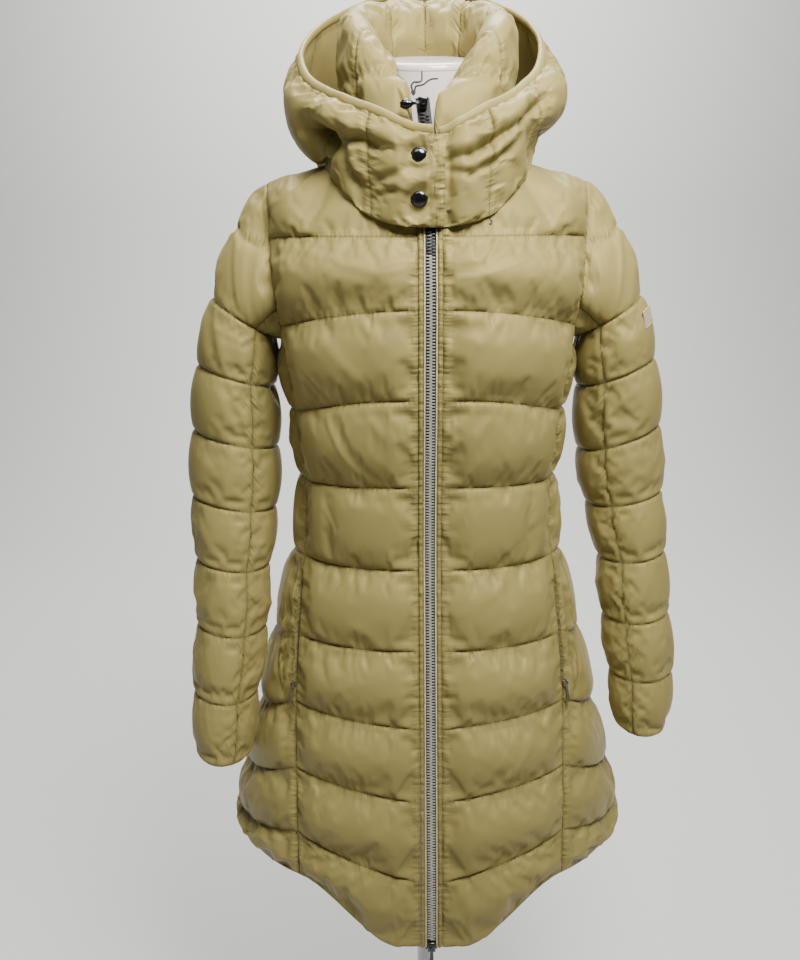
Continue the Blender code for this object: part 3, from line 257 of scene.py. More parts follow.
# Hood: radius and height about the neck of the points from the neck seam to the brim.
HOOD_POINTS = ("base", "crease", "low", "out", "high", "brim")
HOOD = Table(
    "turn base_r base_z crease_r crease_z low_r low_z out_r out_z high_r high_z brim_r brim_z",
    [
        (0, 0.122, 1.291, 0.1225, 1.311, 0.1235, 1.329, 0.124, 1.347, 0.1235, 1.365, 0.121, 1.382),
        (30, 0.124, 1.303, 0.1245, 1.328, 0.1275, 1.350, 0.130, 1.370, 0.129, 1.389, 0.122, 1.408),
        (60, 0.125, 1.350, 0.122, 1.370, 0.128, 1.386, 0.138, 1.405, 0.138, 1.425, 0.127, 1.440),
        (75, 0.121, 1.372, 0.116, 1.385, 0.127, 1.390, 0.146, 1.412, 0.149, 1.440, 0.134, 1.461),
        (90, 0.116, 1.381, 0.110, 1.394, 0.127, 1.396, 0.153, 1.422, 0.157, 1.460, 0.140, 1.488),
        (110, 0.111, 1.374, 0.111, 1.398, 0.130, 1.402, 0.155, 1.426, 0.165, 1.468, 0.147, 1.523),
        (130, 0.106, 1.364, 0.112, 1.397, 0.140, 1.362, 0.166, 1.386, 0.180, 1.470, 0.152, 1.557),
        (180, 0.094, 1.338, 0.112, 1.388, 0.152, 1.290, 0.212, 1.330, 0.204, 1.470, 0.146, 1.602),
    ],
    level_ends=True,
)
HOOD_TURNS = 6  # stitch lines down each half, the join at the middle of the back among them

# Collar: outer radius, thickness and top height round the neck.
COLLAR = Table(
    "turn radius thickness top",
    [
        (0, 0.0995, 0.009, 1.420),
        (8, 0.0995, 0.012, 1.426),
        (17, 0.0998, 0.024, 1.440),
        (28, 0.1002, 0.033, 1.459),
        (45, 0.1005, 0.036, 1.488),
        (90, 0.099, 0.037, 1.532),
        (135, 0.096, 0.037, 1.558),
        (180, 0.097, 0.036, 1.566),
    ],
    level_ends=True,
)
COLLAR_START_DEG, COLLAR_V_DEG = 5.3, 8.0  # where its front edges stand, at the zip and at the top
COLLAR_LEAN_DEG = 5.2  # how far its top leans to the left with the zip
COLLAR_TURNS = 8  # channels all round the neck
COLLAR_LIFT = 0.004  # height of its lower edge over the neckline

# Centre front above the neck seam, where the zip runs up the collar.
COLLAR_ZIP = Table(
    "z y x",
    [
        (1.300, -0.1060, 0.000),
        (1.330, -0.1035, 0.000),
        (1.375, -0.1015, -0.003),
        (1.428, -0.0985, -0.009),
    ],
)
ZIP_TOP, ZIP_BOTTOM = 1.420, 0.4505

FORM = Table(
    "z half_width front back",
    [
        (0.800, 0.145, 0.095, 0.098),
        (0.860, 0.152, 0.100, 0.104),
        (0.930, 0.146, 0.096, 0.098),
        (1.000, 0.132, 0.088, 0.086),
        (1.080, 0.142, 0.100, 0.088),
        (1.140, 0.150, 0.108, 0.092),
        (1.220, 0.152, 0.098, 0.092),
        (1.290, 0.150, 0.076, 0.074),
        (1.320, 0.108, 0.058, 0.053),
        (1.345, 0.070, 0.050, 0.047),
        (1.365, 0.0525, 0.049, 0.046),
        (1.430, 0.0515, 0.050, 0.048),
        (1.476, 0.0520, 0.051, 0.050),
    ],
)


# Settings


def linear(code):
    """A colour from its sRGB hex code, as linear RGBA."""
    channels = [int(code[i : i + 2], 16) / 255 for i in (1, 3, 5)]
    return [c / 12.92 if c <= 0.04045 else ((c + 0.055) / 1.055) ** 2.4 for c in channels] + [1.0]


def length(name, description, default):
    return FloatProperty(name=name, description=description, default=default, min=0.0, unit="LENGTH")


def power(name, description, default):
    return FloatProperty(name=name, description=description, default=default, min=0, unit="POWER")


def colour(name, description, code):
    return FloatVectorProperty(
        name=name, description=description, default=linear(code), size=4, subtype="COLOR", min=0, max=1
    )


class QuiltSettings(bpy.types.PropertyGroup):
    """How the padded cloth is filled, stitched and coloured"""

    body_loft: length("Body loft", "How far a channel of the body swells", 0.012)
    sleeve_loft: length("Sleeve loft", "How far a channel of a sleeve swells", 0.008)
    hood_loft: length("Hood loft", "How far a channel of the hood swells", 0.007)
    collar_loft: length("Collar loft", "How far a channel of the collar swells", 0.006)
    body_step: length("Cloth step", "Spacing of the cloth's points before they are refined", 0.0050)
    pucker: length("Pucker height", "Height of the small puckers beside a seam", 0.0010)
    pucker_pitch: length("Pucker pitch", "Distance from one pucker to the next", 0.0070)
    crease: length("Crease height", "Height of the soft creases in a channel", 0.0012)
    pressure: FloatProperty(name="Filling", description="Pressure of the filling", default=3.0, min=0)
    slack: FloatProperty(name="Slack", description="Share of cloth in excess", default=0.035, min=0, max=0.3)
    frames: IntProperty(name="Steps", description="Steps of the cloth simulation", default=20, min=1)
    shell: colour("Shell", "Nylon in even light", "#938550")
    # Darker dye in random patches, and painted shade between the puffs beside the stitch lines
    shell_deep_dye_and_shade: colour("Shell, deep", "Nylon between the puffs and in its darker patches", "#6A6239")
    thread: colour("Thread", "Quilting thread", "#5E5330")
    piping: colour("Piping", "Edge of the zip guard", "#A89C74")
    patch: colour("Patch", "Bare sleeve patch", "#8F8264")


class TrimSettings(bpy.types.PropertyGroup):
    """Sizes and colours of the zips, snaps and cord"""

    tooth_pitch: length("Tooth pitch", "Distance between the teeth of one side", 0.0034)
    teeth: colour("Teeth", "Moulded zip teeth", "#98948A")
    tape: colour("Tape", "Zip tape", "#2A2A28")
    black: colour("Black", "Enamelled sliders and pulls", "#0B0B0C")
    nickel: colour("Nickel", "Pocket sliders and pulls", "#A8A7A2")


class FormSettings(bpy.types.PropertyGroup):
    """Colours of the dress form"""

    body: colour("Body", "Moulded torso and neck", "#D2CAC1")
    base: colour("Base", "Painted base plate", "#B9B9B6")


class StudioSettings(bpy.types.PropertyGroup):
    """Floor, light and camera"""

    floor: colour("Floor", "Plain pale floor", "#CFCFCC")
    sky: colour("Surround", "Light from all round", "#DADDDC")
    surround: FloatProperty(
        name="Surround strength", description="Strength of the light from all round", default=0.09, min=0
    )
    key: power("Key light", "Power of the main soft light", 52)
    fill: power("Fill light", "Power of the light from the left", 1.5)
    top: power("Top light", "Power of the light above the collar", 6)
    back: power("Backdrop light", "Power of the light on the backdrop", 330)
    lens: FloatProperty(name="Lens", description="Focal length in millimetres", default=28.125, min=1)


def quilt():
    return bpy.context.scene.coat_quilt


def trim():
    return bpy.context.scene.coat_trim


def unit(vectors):
    return vectors / np.linalg.norm(vectors, axis=-1, keepdims=True)


def smoothstep(low, high, value):
    t = np.clip((value - low) / (high - low), 0, 1)
    return t * t * (3 - 2 * t)


def swell(phase):
    """Height of a channel across its width, 0 at its two stitch lines."""
    return np.abs(np.sin(np.pi * phase)) ** 0.6


def fade(distance, width=SEAM_FADE):
    """How far a channel has swollen at this distance from a seam."""
    return np.sin(np.pi / 2 * np.clip(distance / width, 0, 1)) ** 0.7


# Surface of the body


def shoulder_z(x):
    return SHOULDER_Z + (SHOULDER_X - np.abs(x)) * (NECK_Z - SHOULDER_Z) / (SHOULDER_X - NECK_X)


def depth(x, z, side):
    """Distance of the stitched surface in front of, or behind, the middle plane."""
    level = np.minimum(z, ARMPIT_Z)
    half_width = BODY("half_width", level) + ARMHOLE_WIDEN * smoothstep(ARMPIT_Z, ARMPIT_Z + 0.04, z)
    flat = 1 - np.clip(np.abs(x) / half_width, 0, 1) ** SQUARENESS
    rise = np.clip((z - ARMPIT_Z) / (shoulder_z(x) - ARMPIT_Z), 0, 1)
    return BODY(side, level) * flat ** (1 / SQUARENESS) * (1 - rise**SHOULDER_POWER) ** 0.5


def body_point(x, z, side):
    sign = -1 if side == "front" else 1
    return np.stack([x, sign * (depth(x, z, side) + GAP / 2), z], -1)


def body_normal(x, z, side):
    step = 2e-4
    sign = -1 if side == "front" else 1
    by_x = depth(x + step, z, side) - depth(x - step, z, side)
    by_z = depth(x, z + step, side) - depth(x, z - step, side)
    return unit(np.stack([-by_x, np.full_like(x, sign * 2 * step), -by_z], -1))


def pocket_slot(z):
    """How far each panel stands back from the princess seam along the pocket opening."""
    above = smoothstep(POCKET_BOTTOM, POCKET_BOTTOM + 0.01, z)
    below = smoothstep(POCKET_TOP, POCKET_TOP - 0.01, z)
    return POCKET_HALF * above * below


def section_turn(x, z):
    """Angle round the body's section at which the half-width reaches x, from the front or the back."""
    return np.arcsin(np.clip(x / BODY("half_width", z), 0, 1) ** (SQUARENESS / 2))


def side_point(across, z):
    """Point of the side panel at +X, from its front seam to its back seam."""
    front = section_turn(BODY("edge", z) + GAP / 2 + pocket_slot(z), z)
    back = math.pi - section_turn(BODY("back_edge", z) + GAP / 2, z)
    turn = front + (back - front) * across
    power = 2 / SQUARENESS
    reach = np.where(turn < math.pi / 2, -BODY("front", z), BODY("back", z))
    x = BODY("half_width", z) * np.abs(np.sin(turn)) ** power
    return np.stack([x, reach * np.abs(np.cos(turn)) ** power, z + 0 * x], -1)


def side_normal(across, z):
    step = 1e-3
    by_across = side_point(np.clip(across + step, 0, 1), z) - side_point(np.clip(across - step, 0, 1), z)
    by_z = side_point(across, z + step) - side_point(across, z - step)
    return unit(np.cross(by_across, by_z))


def armhole_z(across):
    """Height of the armhole along the top of a side panel."""
    return ARMPIT_Z - ARMHOLE_DROP * np.sin(np.pi * across) ** 0.7


def neck_z(x, dip):
    """Top edge of the front and back panels: neckline, then shoulder seam."""
    inside = np.clip(1 - (x / NECK_X) ** 2, 0, 1) ** 0.5
    return np.where(np.abs(x) < NECK_X, NECK_Z - dip * inside, shoulder_z(x))


def under_hood(points):
    """0 where the hood's band lies on the coat, 1 clear of it."""
    return smoothstep(0.128, 0.165, np.hypot(points[..., 0], points[..., 1]))


def pocket_flat(across, z):
    """0 over the flat pocket bag behind the front seam of a side panel, 1 elsewhere."""
    along = smoothstep(POCKET_BOTTOM - 0.03, POCKET_BOTTOM, z) * smoothstep(POCKET_TOP + 0.03, POCKET_TOP, z)
    return 1 - 0.75 * along * smoothstep(0.5, 0.3, across)


# Sleeves


def armhole_point(turn):
    """The armhole seam, from the shoulder (0) over the front, under the arm (pi) and up the back."""
    side = np.where(turn < math.pi, 1, -1)
    from_top = np.where(turn < math.pi, turn, 2 * math.pi - turn)
    limit = math.radians(ARMHOLE_DEG)
    z_upper = ARMPIT_Z + (SHOULDER_Z - ARMPIT_Z) * np.cos(np.pi / 2 * np.clip(from_top / limit, 0, 1))
    x_upper = BODY("edge", z_upper)
    y_front, y_back = -depth(x_upper, z_upper, "front"), depth(x_upper, z_upper, "back")
    upper = np.stack([x_upper, np.where(side > 0, y_front, y_back), z_upper], -1)
    below = np.clip((from_top - limit) / (math.pi - limit), 0, 1) / 2
    across = np.where(side > 0, below, 1 - below)
    under = side_point(across, armhole_z(across))
    return np.where((from_top < limit)[..., None], upper, under)


def sleeve_ring(table, q, turn):
    outer, inner = table("outer", q), table("inner", q)
    middle, half = (outer + inner) / 2, (outer - inner) / 2
    x = middle + half * np.cos(turn)
    y = table("forward", q) - table("depth", q) * np.sin(turn)
    return np.stack([x, y, q - table("tilt", q) * (outer - x)], -1)


def sleeve_point(table, turn, along):
    """Stitched surface of a sleeve. along runs 0 to 1 over the cap, then with the ring height."""
    top = table.data[0][-1]
    low = table.data[0][0]
    turn, along = np.broadcast_arrays(turn, along)
    seam = armhole_point(np.mod(turn, 2 * math.pi)) + np.array([ARMHOLE_GAP, 0, 0])
    ring = sleeve_ring(table, np.full_like(turn, top), turn)
    up = np.cos(turn / 2) ** 4
    lift = np.stack([0 * up, -CAP_FORWARD * np.sin(turn), CAP_RISE * up + GAP], -1)
    control = (seam + ring) / 2 + lift
    t = np.clip(along, 0, 1)[..., None]
    cap = (1 - t) ** 2 * seam + 2 * t * (1 - t) * control + t**2 * ring
    q = top - (along - 1) * (top - low)
    return np.where(along[..., None] <= 1, cap, sleeve_ring(table, np.minimum(q, top), turn))


def sleeve_normal(table, turn, along):
    step = 1e-3
    by_turn = sleeve_point(table, turn + step, along) - sleeve_point(table, turn - step, along)
    low, high = np.maximum(along - step, 0), np.minimum(along + step, 2)
    by_along = sleeve_point(table, turn, high) - sleeve_point(table, turn, low)
    return unit(np.cross(by_turn, by_along))


# Hood and collar


def spline(controls, share):
    """Points of a smooth curve through a stack of control points, controls[k] being the k-th."""
    last = len(controls) - 1
    place = np.clip(share, 0, 1) * last
    k = np.minimum(place.astype(int), last - 1)
    t = (place - k)[..., None]
    stack = np.stack(np.broadcast_arrays(*controls))
    grid = np.indices(k.shape)

    def pick(step):
        return stack[(np.clip(k + step, 0, last), *grid)]

    a, b, c, d = pick(-1), pick(0), pick(1), pick(2)
    return 0.5 * (2 * b + (c - a) * t + (2 * a - 5 * b + 4 * c - d) * t**2 + (3 * b - a - 3 * c + d) * t**3)


def degrees_round(turn):
    """How far a turn is from the front, 0 to 180 degrees on either side."""
    return np.abs(np.mod(np.degrees(turn) + 180, 360) - 180)


def polar(turn, radius, z):
    return np.stack([radius * np.sin(turn), -radius * np.cos(turn), z + 0 * radius], -1)


def hood_point(turn, share):
    """Stitched surface of the hood; turn is 0 at the front and positive towards +X."""
    turn, share = np.broadcast_arrays(turn, share)
    degrees = degrees_round(turn)
    aside = np.sin(turn)
    droop = aside**2 * np.where(aside < 0, LEFT_DROOP, -RIGHT_LIFT)
    drops = {"low": droop, "out": droop, "high": 0.6 * droop, "brim": 0.5 * np.maximum(droop, 0)}
    leans = {"high": BRIM_SHIFT / 2, "brim": BRIM_SHIFT}
    controls = []
    for name in HOOD_POINTS:
        radius = HOOD(name + "_r", degrees) - leans.get(name, 0) * aside
        controls.append(polar(turn, radius, HOOD(name + "_z", degrees) - drops.get(name, 0)))
    return spline(controls, share)


def hood_normal(turn, share):
    step = 1e-3
    by_turn = hood_point(turn + step, share) - hood_point(turn - step, share)
    low, high = np.maximum(share - step, 0), np.minimum(share + step, 1)
    return unit(np.cross(by_turn, hood_point(turn, high) - hood_point(turn, low)))


def snap_flat(points):
    """0 where a snap presses the band flat, 1 elsewhere."""
    flat = 1
    for z in SNAP_Z:
        away = np.hypot(points[..., 0] - SNAP_X, points[..., 2] - z) + 0.2 * (points[..., 1] > 0)
        flat = flat * smoothstep(0.008, 0.022, away)
    return flat


def neck_point(turn):
    """The neck seam: top edge of the front and back panels."""
    front = np.cos(turn) > 0
    x = NECK_X * np.sin(turn)
    z = NECK_Z - np.where(front, NECK_DIP_FRONT, NECK_DIP_BACK) * np.abs(np.cos(turn))
    y = np.where(front, -depth(x, z, "front"), depth(x, z, "back"))
    return np.stack([x, y, z], -1)


# Zip


def front_line(z):
    """Centre front of the coat, and of the collar above the neck seam."""
    z = np.asarray(z, float)
    low = -depth(0 * z, z, "front") - GAP / 2
    mix = smoothstep(1.285, 1.30, z)
    y = low * (1 - mix) + COLLAR_ZIP("y", z) * mix
    return np.stack([COLLAR_ZIP("x", z), y, z], -1)


def front_normal(z):
    step = 1e-3
    along = front_line(z + step) - front_line(z - step)
    return unit(np.stack([0 * z, -along[..., 2], along[..., 1]], -1))


def frame_on(point, normal, lean=0.0):
    """Axes on the cloth: X across, -Y out along the normal, Z up, then leant over about the normal."""
    back = -Vector(normal)
    across = back.cross(Vector((0, 0, 1))).normalized()
    axes = Matrix((across, back, across.cross(back))).transposed().to_4x4()
    return Matrix.Translation(Vector(point)) @ axes @ Matrix.Rotation(lean, 4, "Y")


# Materials


def blank(name):
    """A material with only its shader and output."""
    made = bpy.data.materials.new(name)
    made.use_nodes = True
    return made, made.node_tree, made.node_tree.nodes["Principled BSDF"]


def add(tree, kind, inputs=None, **settings):
    """A node with its settings. An input is a value or another node's socket."""
    node = tree.nodes.new("ShaderNode" + kind)
    for name, value in settings.items():
        setattr(node, name, value)
    connect(tree, node, inputs or {})
    return node


def connect(tree, node, inputs):
    for key, value in inputs.items():
        if isinstance(value, bpy.types.NodeSocket):
            tree.links.new(value, node.inputs[key])
        else:
            node.inputs[key].default_value = value


def blend_colours(tree, factor, first, second):
    """A colour from the first to the second as the factor goes from 0 to 1."""
    return add(tree, "Mix", {0: factor, 6: first, 7: second}, data_type="RGBA").outputs[2]


def math_of(tree, operation, *values):
    return add(tree, "Math", dict(enumerate(values)), operation=operation).outputs[0]


def scaled(tree, vector, *wavelengths):
    """A pattern's coordinates, from millimetres to its own wavelengths."""
    factors = tuple(1 / w for w in wavelengths)
    return add(tree, "VectorMath", {0: vector, 1: factors}, operation="MULTIPLY").outputs[0]


def noise(tree, vector, detail=2.0, roughness=0.5):
    inputs = {"Vector": vector, "Scale": 1.0, "Detail": detail, "Roughness": roughness}
    return add(tree, "TexNoise", inputs).outputs["Fac"]


def uneven(tree, factor, low, high):
    """A roughness that drifts from low to high."""
    return add(tree, "MapRange", {"Value": factor, 1: 0.3, 2: 0.7, 3: low, 4: high}).outputs[0]


def object_mm(tree):
    """Place on the object, in millimetres."""
    return scaled(tree, add(tree, "TexCoord").outputs["Object"], 0.001, 0.001, 0.001)


def near(tree, distance, reach):
    """1 on a line, falling to 0 at this distance in millimetres."""
    inputs = {"Value": distance, 1: 0.0, 2: reach, 3: 1.0, 4: 0.0}
    return add(tree, "MapRange", inputs, interpolation_type="SMOOTHSTEP").outputs[0]


def relief(tree, shader, height, strength=1.0):
    """Bump from a height in millimetres."""
    bump = add(tree, "Bump", {"Height": height, "Strength": strength, "Distance": 0.001})
    tree.links.new(bump.outputs[0], shader.inputs["Normal"])


def nylon(name, puckers=3.0):
    """Downproof nylon taffeta, calendered: a tight thin weave with a soft satin sheen and fine wrinkles."""
    settings = quilt()
    made, tree, shader = blank(name)
    cloth = add(tree, "Attribute", attribute_name="cloth_mm").outputs["Vector"]
    lines = add(tree, "Attribute", attribute_name="lines_mm").outputs["Vector"]
    across, up, sewn = add(tree, "SeparateXYZ", {0: lines}).outputs
    right, rise, _ = add(tree, "SeparateXYZ", {0: cloth}).outputs
    # Colour: slow drift of the dye, and painted shade where two puffs meet
    drift = noise(tree, scaled(tree, cloth, 110, 80, 80), 3.0)
    weave = noise(tree, scaled(tree, cloth, 0.9, 0.9, 0.9), 1.0)
    # Painted shade: darker within a few millimetres of each stitch line, between the puffs
    valley_shade = math_of(tree, "MAXIMUM", near(tree, across, 4), near(tree, up, 3))
    mixed = math_of(tree, "MULTIPLY_ADD", valley_shade, 0.35, math_of(tree, "MULTIPLY", drift, 0.6))
    mixed = math_of(tree, "MULTIPLY_ADD", weave, 0.12, mixed)
    shade = blend_colours(tree, mixed, list(settings.shell), list(settings.shell_deep_dye_and_shade))
    # Stitches 2.4 mm long with 0.8 mm between them
    along = math_of(tree, "FRACT", math_of(tree, "DIVIDE", math_of(tree, "ADD", right, rise), 3.2))
    thread = math_of(tree, "MULTIPLY", near(tree, sewn, 0.8), math_of(tree, "LESS_THAN", along, 0.72))
    colour_out = blend_colours(tree, thread, shade, list(settings.thread))
    # Relief in millimetres: puckers run away from each seam, faint wrinkles cross the puffs
    pucker_up = noise(tree, scaled(tree, cloth, 4.2, 26, 26), 1.0)
    pucker_across = noise(tree, scaled(tree, cloth, 26, 5.0, 26), 1.0)
    height = math_of(tree, "MULTIPLY", pucker_up, near(tree, up, 9))
    height = math_of(tree, "MULTIPLY_ADD", pucker_across, near(tree, across, 16), height)
    height = math_of(tree, "MULTIPLY", height, puckers)
    wrinkle = noise(tree, scaled(tree, cloth, 40, 55, 50), 4.0, 0.45)
    height = math_of(tree, "MULTIPLY_ADD", wrinkle, 0.8, height)
    height = math_of(tree, "MULTIPLY_ADD", weave, 0.02, height)
    height = math_of(tree, "MULTIPLY_ADD", thread, 0.25, height)
    height = math_of(tree, "MULTIPLY_ADD", near(tree, sewn, 1.6), -0.4, height)
    relief(tree, shader, height, 0.8)
    satin = {
        "Base Color": colour_out,
        "Roughness": uneven(tree, drift, 0.42, 0.52),
        "IOR": 1.5,
        "Specular IOR Level": 0.34,
        "Specular Tint": linear("#E9CF86"),
        "Sheen Weight": 0.12,
        "Sheen Roughness": 0.4,
        "Sheen Tint": linear("#E0CC8E"),
    }
    connect(tree, shader, satin)
    return made


def surface_of(name, code, roughness, metallic=0.0, grain_mm=0.6, bumps=0.02, spread=0.06, coat=0.0):
    """A moulded, painted or plated finish with fine grain and slightly uneven gloss."""
    made, tree, shader = blank(name)
    mm = object_mm(tree)
    grain = noise(tree, scaled(tree, mm, grain_mm, grain_mm, grain_mm), 2.0)
    cloud = noise(tree, scaled(tree, mm, 22, 22, 22), 3.0)
    dark = [c * 0.86 for c in code[:3]] + [1.0]
    relief(tree, shader, math_of(tree, "MULTIPLY", grain, bumps))
    gloss = {
        "Base Color": blend_colours(tree, cloud, list(code), dark),
        "Roughness": uneven(tree, cloud, roughness - spread, roughness + spread),
        "Metallic": metallic,
        "Coat Weight": coat,
    }
    connect(tree, shader, gloss)
    return made


def woven(name, code, pitch_mm=0.8):
    """A narrow woven tape or braid with a herringbone of fine threads."""
    made, tree, shader = blank(name)
    wave = {"Vector": object_mm(tree), "Scale": 1 / pitch_mm, "Distortion": 0.6, "Detail": 1.0}
    threads = add(tree, "TexWave", wave, bands_direction="DIAGONAL").outputs["Fac"]
    light = [min(1.0, c * 1.9 + 0.006) for c in code[:3]] + [1.0]
    relief(tree, shader, math_of(tree, "MULTIPLY", threads, 0.12))
    base = blend_colours(tree, threads, list(code), light)
    connect(tree, shader, {"Base Color": base, "Roughness": 0.75, "Sheen Weight": 0.2})
    return made


FINISHES = {}


def finish(name):
    """The material of this name, made on first use."""
    if name not in FINISHES:
        form, zips = bpy.context.scene.coat_form, trim()
        makers = {
            "satin nylon taffeta": (nylon,),
            "smooth nylon taffeta": (nylon, 0.0),
            "woven polyester patch": (woven, quilt().patch, 1.1),
            "corded piping": (woven, quilt().piping, 0.7),
            "woven polyester tape": (woven, zips.tape),
            "braided polyester cord": (woven, zips.tape, 0.9),
            "moulded acetal teeth": (surface_of, zips.teeth, 0.38, 0.0, 0.5, 0.03),
            "black acetal teeth": (surface_of, zips.tape, 0.35, 0.0, 0.5, 0.03),
            "enamelled zinc": (surface_of, zips.black, 0.16, 0.0, 1.4, 0.015, 0.06, 0.6),
            "brushed nickel plate": (surface_of, zips.nickel, 0.3, 1.0, 0.4, 0.03),
            "moulded gloss fibreglass": (surface_of, form.body, 0.2, 0.0, 9.0, 0.12, 0.05, 0.4),
            "brushed stainless steel": (surface_of, linear("#B4B5B6"), 0.28, 1.0, 0.5, 0.02),
            "powder-coated steel": (surface_of, form.base, 0.45, 0.0, 0.8, 0.08),
        }
        maker, *values = makers[name]
        FINISHES[name] = maker(name, *values)
    return FINISHES[name]


# Cloth


def lattice(seed, size=64):
    return np.random.default_rng(seed).uniform(-1, 1, (size, size))


def ripple(seed, x, y):
    """Smooth noise from -1 to 1 over coordinates in its own wavelengths."""
    table = lattice(seed)
    size = len(table)
    column, row = np.floor(x), np.floor(y)
    s, t = x - column, y - row
    s, t = s * s * (3 - 2 * s), t * t * (3 - 2 * t)
    i, j = column.astype(int) % size, row.astype(int) % size
    k, m = (i + 1) % size, (j + 1) % size
    low = table[j, i] * (1 - s) + table[j, k] * s
    high = table[m, i] * (1 - s) + table[m, k] * s
    return low * (1 - t) + high * t


def arc_length(points, axis):
    """Distance along the grid's rows (axis 1) or columns (axis 0) from its first point."""
    steps = np.linalg.norm(np.diff(points, axis=axis), axis=-1)
    start = np.zeros_like(np.take(steps, [0], axis=axis))
    return np.concatenate([start, np.cumsum(steps, axis=axis)], axis=axis)


def halve(grid, creased, axis, smooth=True):
    """The grid with a new point between each pair, on a curve that may turn sharply at creased places."""
    grid = np.moveaxis(grid, axis, 0)
    count = len(grid)
    even = (grid[:-1] + grid[1:]) / 2
    if smooth:
        before = np.concatenate([grid[:1], grid[:-2]])
        after = np.concatenate([grid[2:], grid[-1:]])
        a, b = grid[:-1], grid[1:]
        even = (-before + 9 * a + 9 * b - after) / 16
        first, last = (3 * a + 6 * b - after) / 8, (-before + 6 * a + 3 * b) / 8
        for k in range(count - 1):
            starts, ends = k in creased or k == 0, k + 1 in creased or k + 2 == count
            if starts and ends:
                even[k] = (a[k] + b[k]) / 2
            elif starts:
                even[k] = first[k]
            elif ends:
                even[k] = last[k]
    fine = np.empty((2 * count - 1, *grid.shape[1:]))
    fine[::2], fine[1::2] = grid, even
    return np.moveaxis(fine, 0, axis)


def quads(index):
    corners = (index[:-1, :-1], index[:-1, 1:], index[1:, 1:], index[1:, :-1])
    return np.stack(corners, -1).reshape(-1, 4)


def new_object(name, points, faces):
    mesh = bpy.data.meshes.new(name)
    corners = np.asarray(points, float).reshape(-1, 3).tolist()
    mesh.from_pydata(corners, [], [list(map(int, f)) for f in faces])
    obj = bpy.data.objects.new(name, mesh)
    bpy.context.scene.collection.objects.link(obj)
    return obj


def facing(grid, normals):
    """True where the grid's own turning sense agrees with its normals."""
    r, c = grid.shape[0] // 2, grid.shape[1] // 2
    turn = np.cross(grid[r, c + 1] - grid[r, c], grid[r + 1, c] - grid[r, c])
    return float(turn @ normals[r, c]) > 0


def numbered(grid, normals):
    """The numbers of a grid's points, and its faces turned the way of its normals."""
    index = np.arange(grid[..., 0].size).reshape(grid.shape[:2])
    faces = quads(index)
    return index, faces if facing(grid, normals) else faces[:, ::-1]


def billow(start, normals, held):
    """The cloth between its stitches after a short simulation under the filling's pressure."""
    settings, scene = quilt(), bpy.context.scene
    index, faces = numbered(start, normals)
    obj = new_object("billowing_cloth", start, faces)
    group = obj.vertex_groups.new(name="stitched")
    group.add(index[held].tolist(), 1.0, "REPLACE")
    cloth = obj.modifiers.new("cloth", "CLOTH")
    rules = cloth.settings
    rules.quality = 5
    rules.mass = 0.3
    rules.tension_stiffness = rules.compression_stiffness = 15
    rules.shear_stiffness = 7.5
    rules.bending_stiffness = 0.5
    rules.use_pressure = True
    rules.uniform_pressure_force = settings.pressure
    rules.vertex_group_mass = "stitched"
    rules.pin_stiffness = 1
    rules.shrink_min = -settings.slack
    rules.effector_weights.gravity = 0
    cloth.collision_settings.use_collision = False
    cloth.point_cache.frame_start, cloth.point_cache.frame_end = 1, settings.frames
    for step in range(1, settings.frames + 1):
        scene.frame_set(step)
    moved = obj.evaluated_get(bpy.context.evaluated_depsgraph_get())
    points = np.zeros(start.size)
    moved.data.vertices.foreach_get("co", points)
    bpy.data.objects.remove(obj)
    scene.frame_set(1)
    return points.reshape(start.shape)


MOST_MOVE = 0.007  # how far the simulation may carry a point
LEAST_RISE = 0.0005  # least height of the cloth over its stitched surface


def hold_back(points, start, surface, normals):
    """The simulated points, not too far from their start and never under the stitched surface."""
    moved = points - start
    distance = np.linalg.norm(moved, axis=-1, keepdims=True)
    moved *= np.minimum(1, MOST_MOVE / np.maximum(distance, 1e-9))
    points = start + moved
    rise = ((points - surface) * normals).sum(-1)
    return points + normals * np.maximum(0, LEAST_RISE - rise)[..., None]


GRIDS = ("surface", "normals", "height", "across", "up", "to_rows", "to_columns", "sewn")


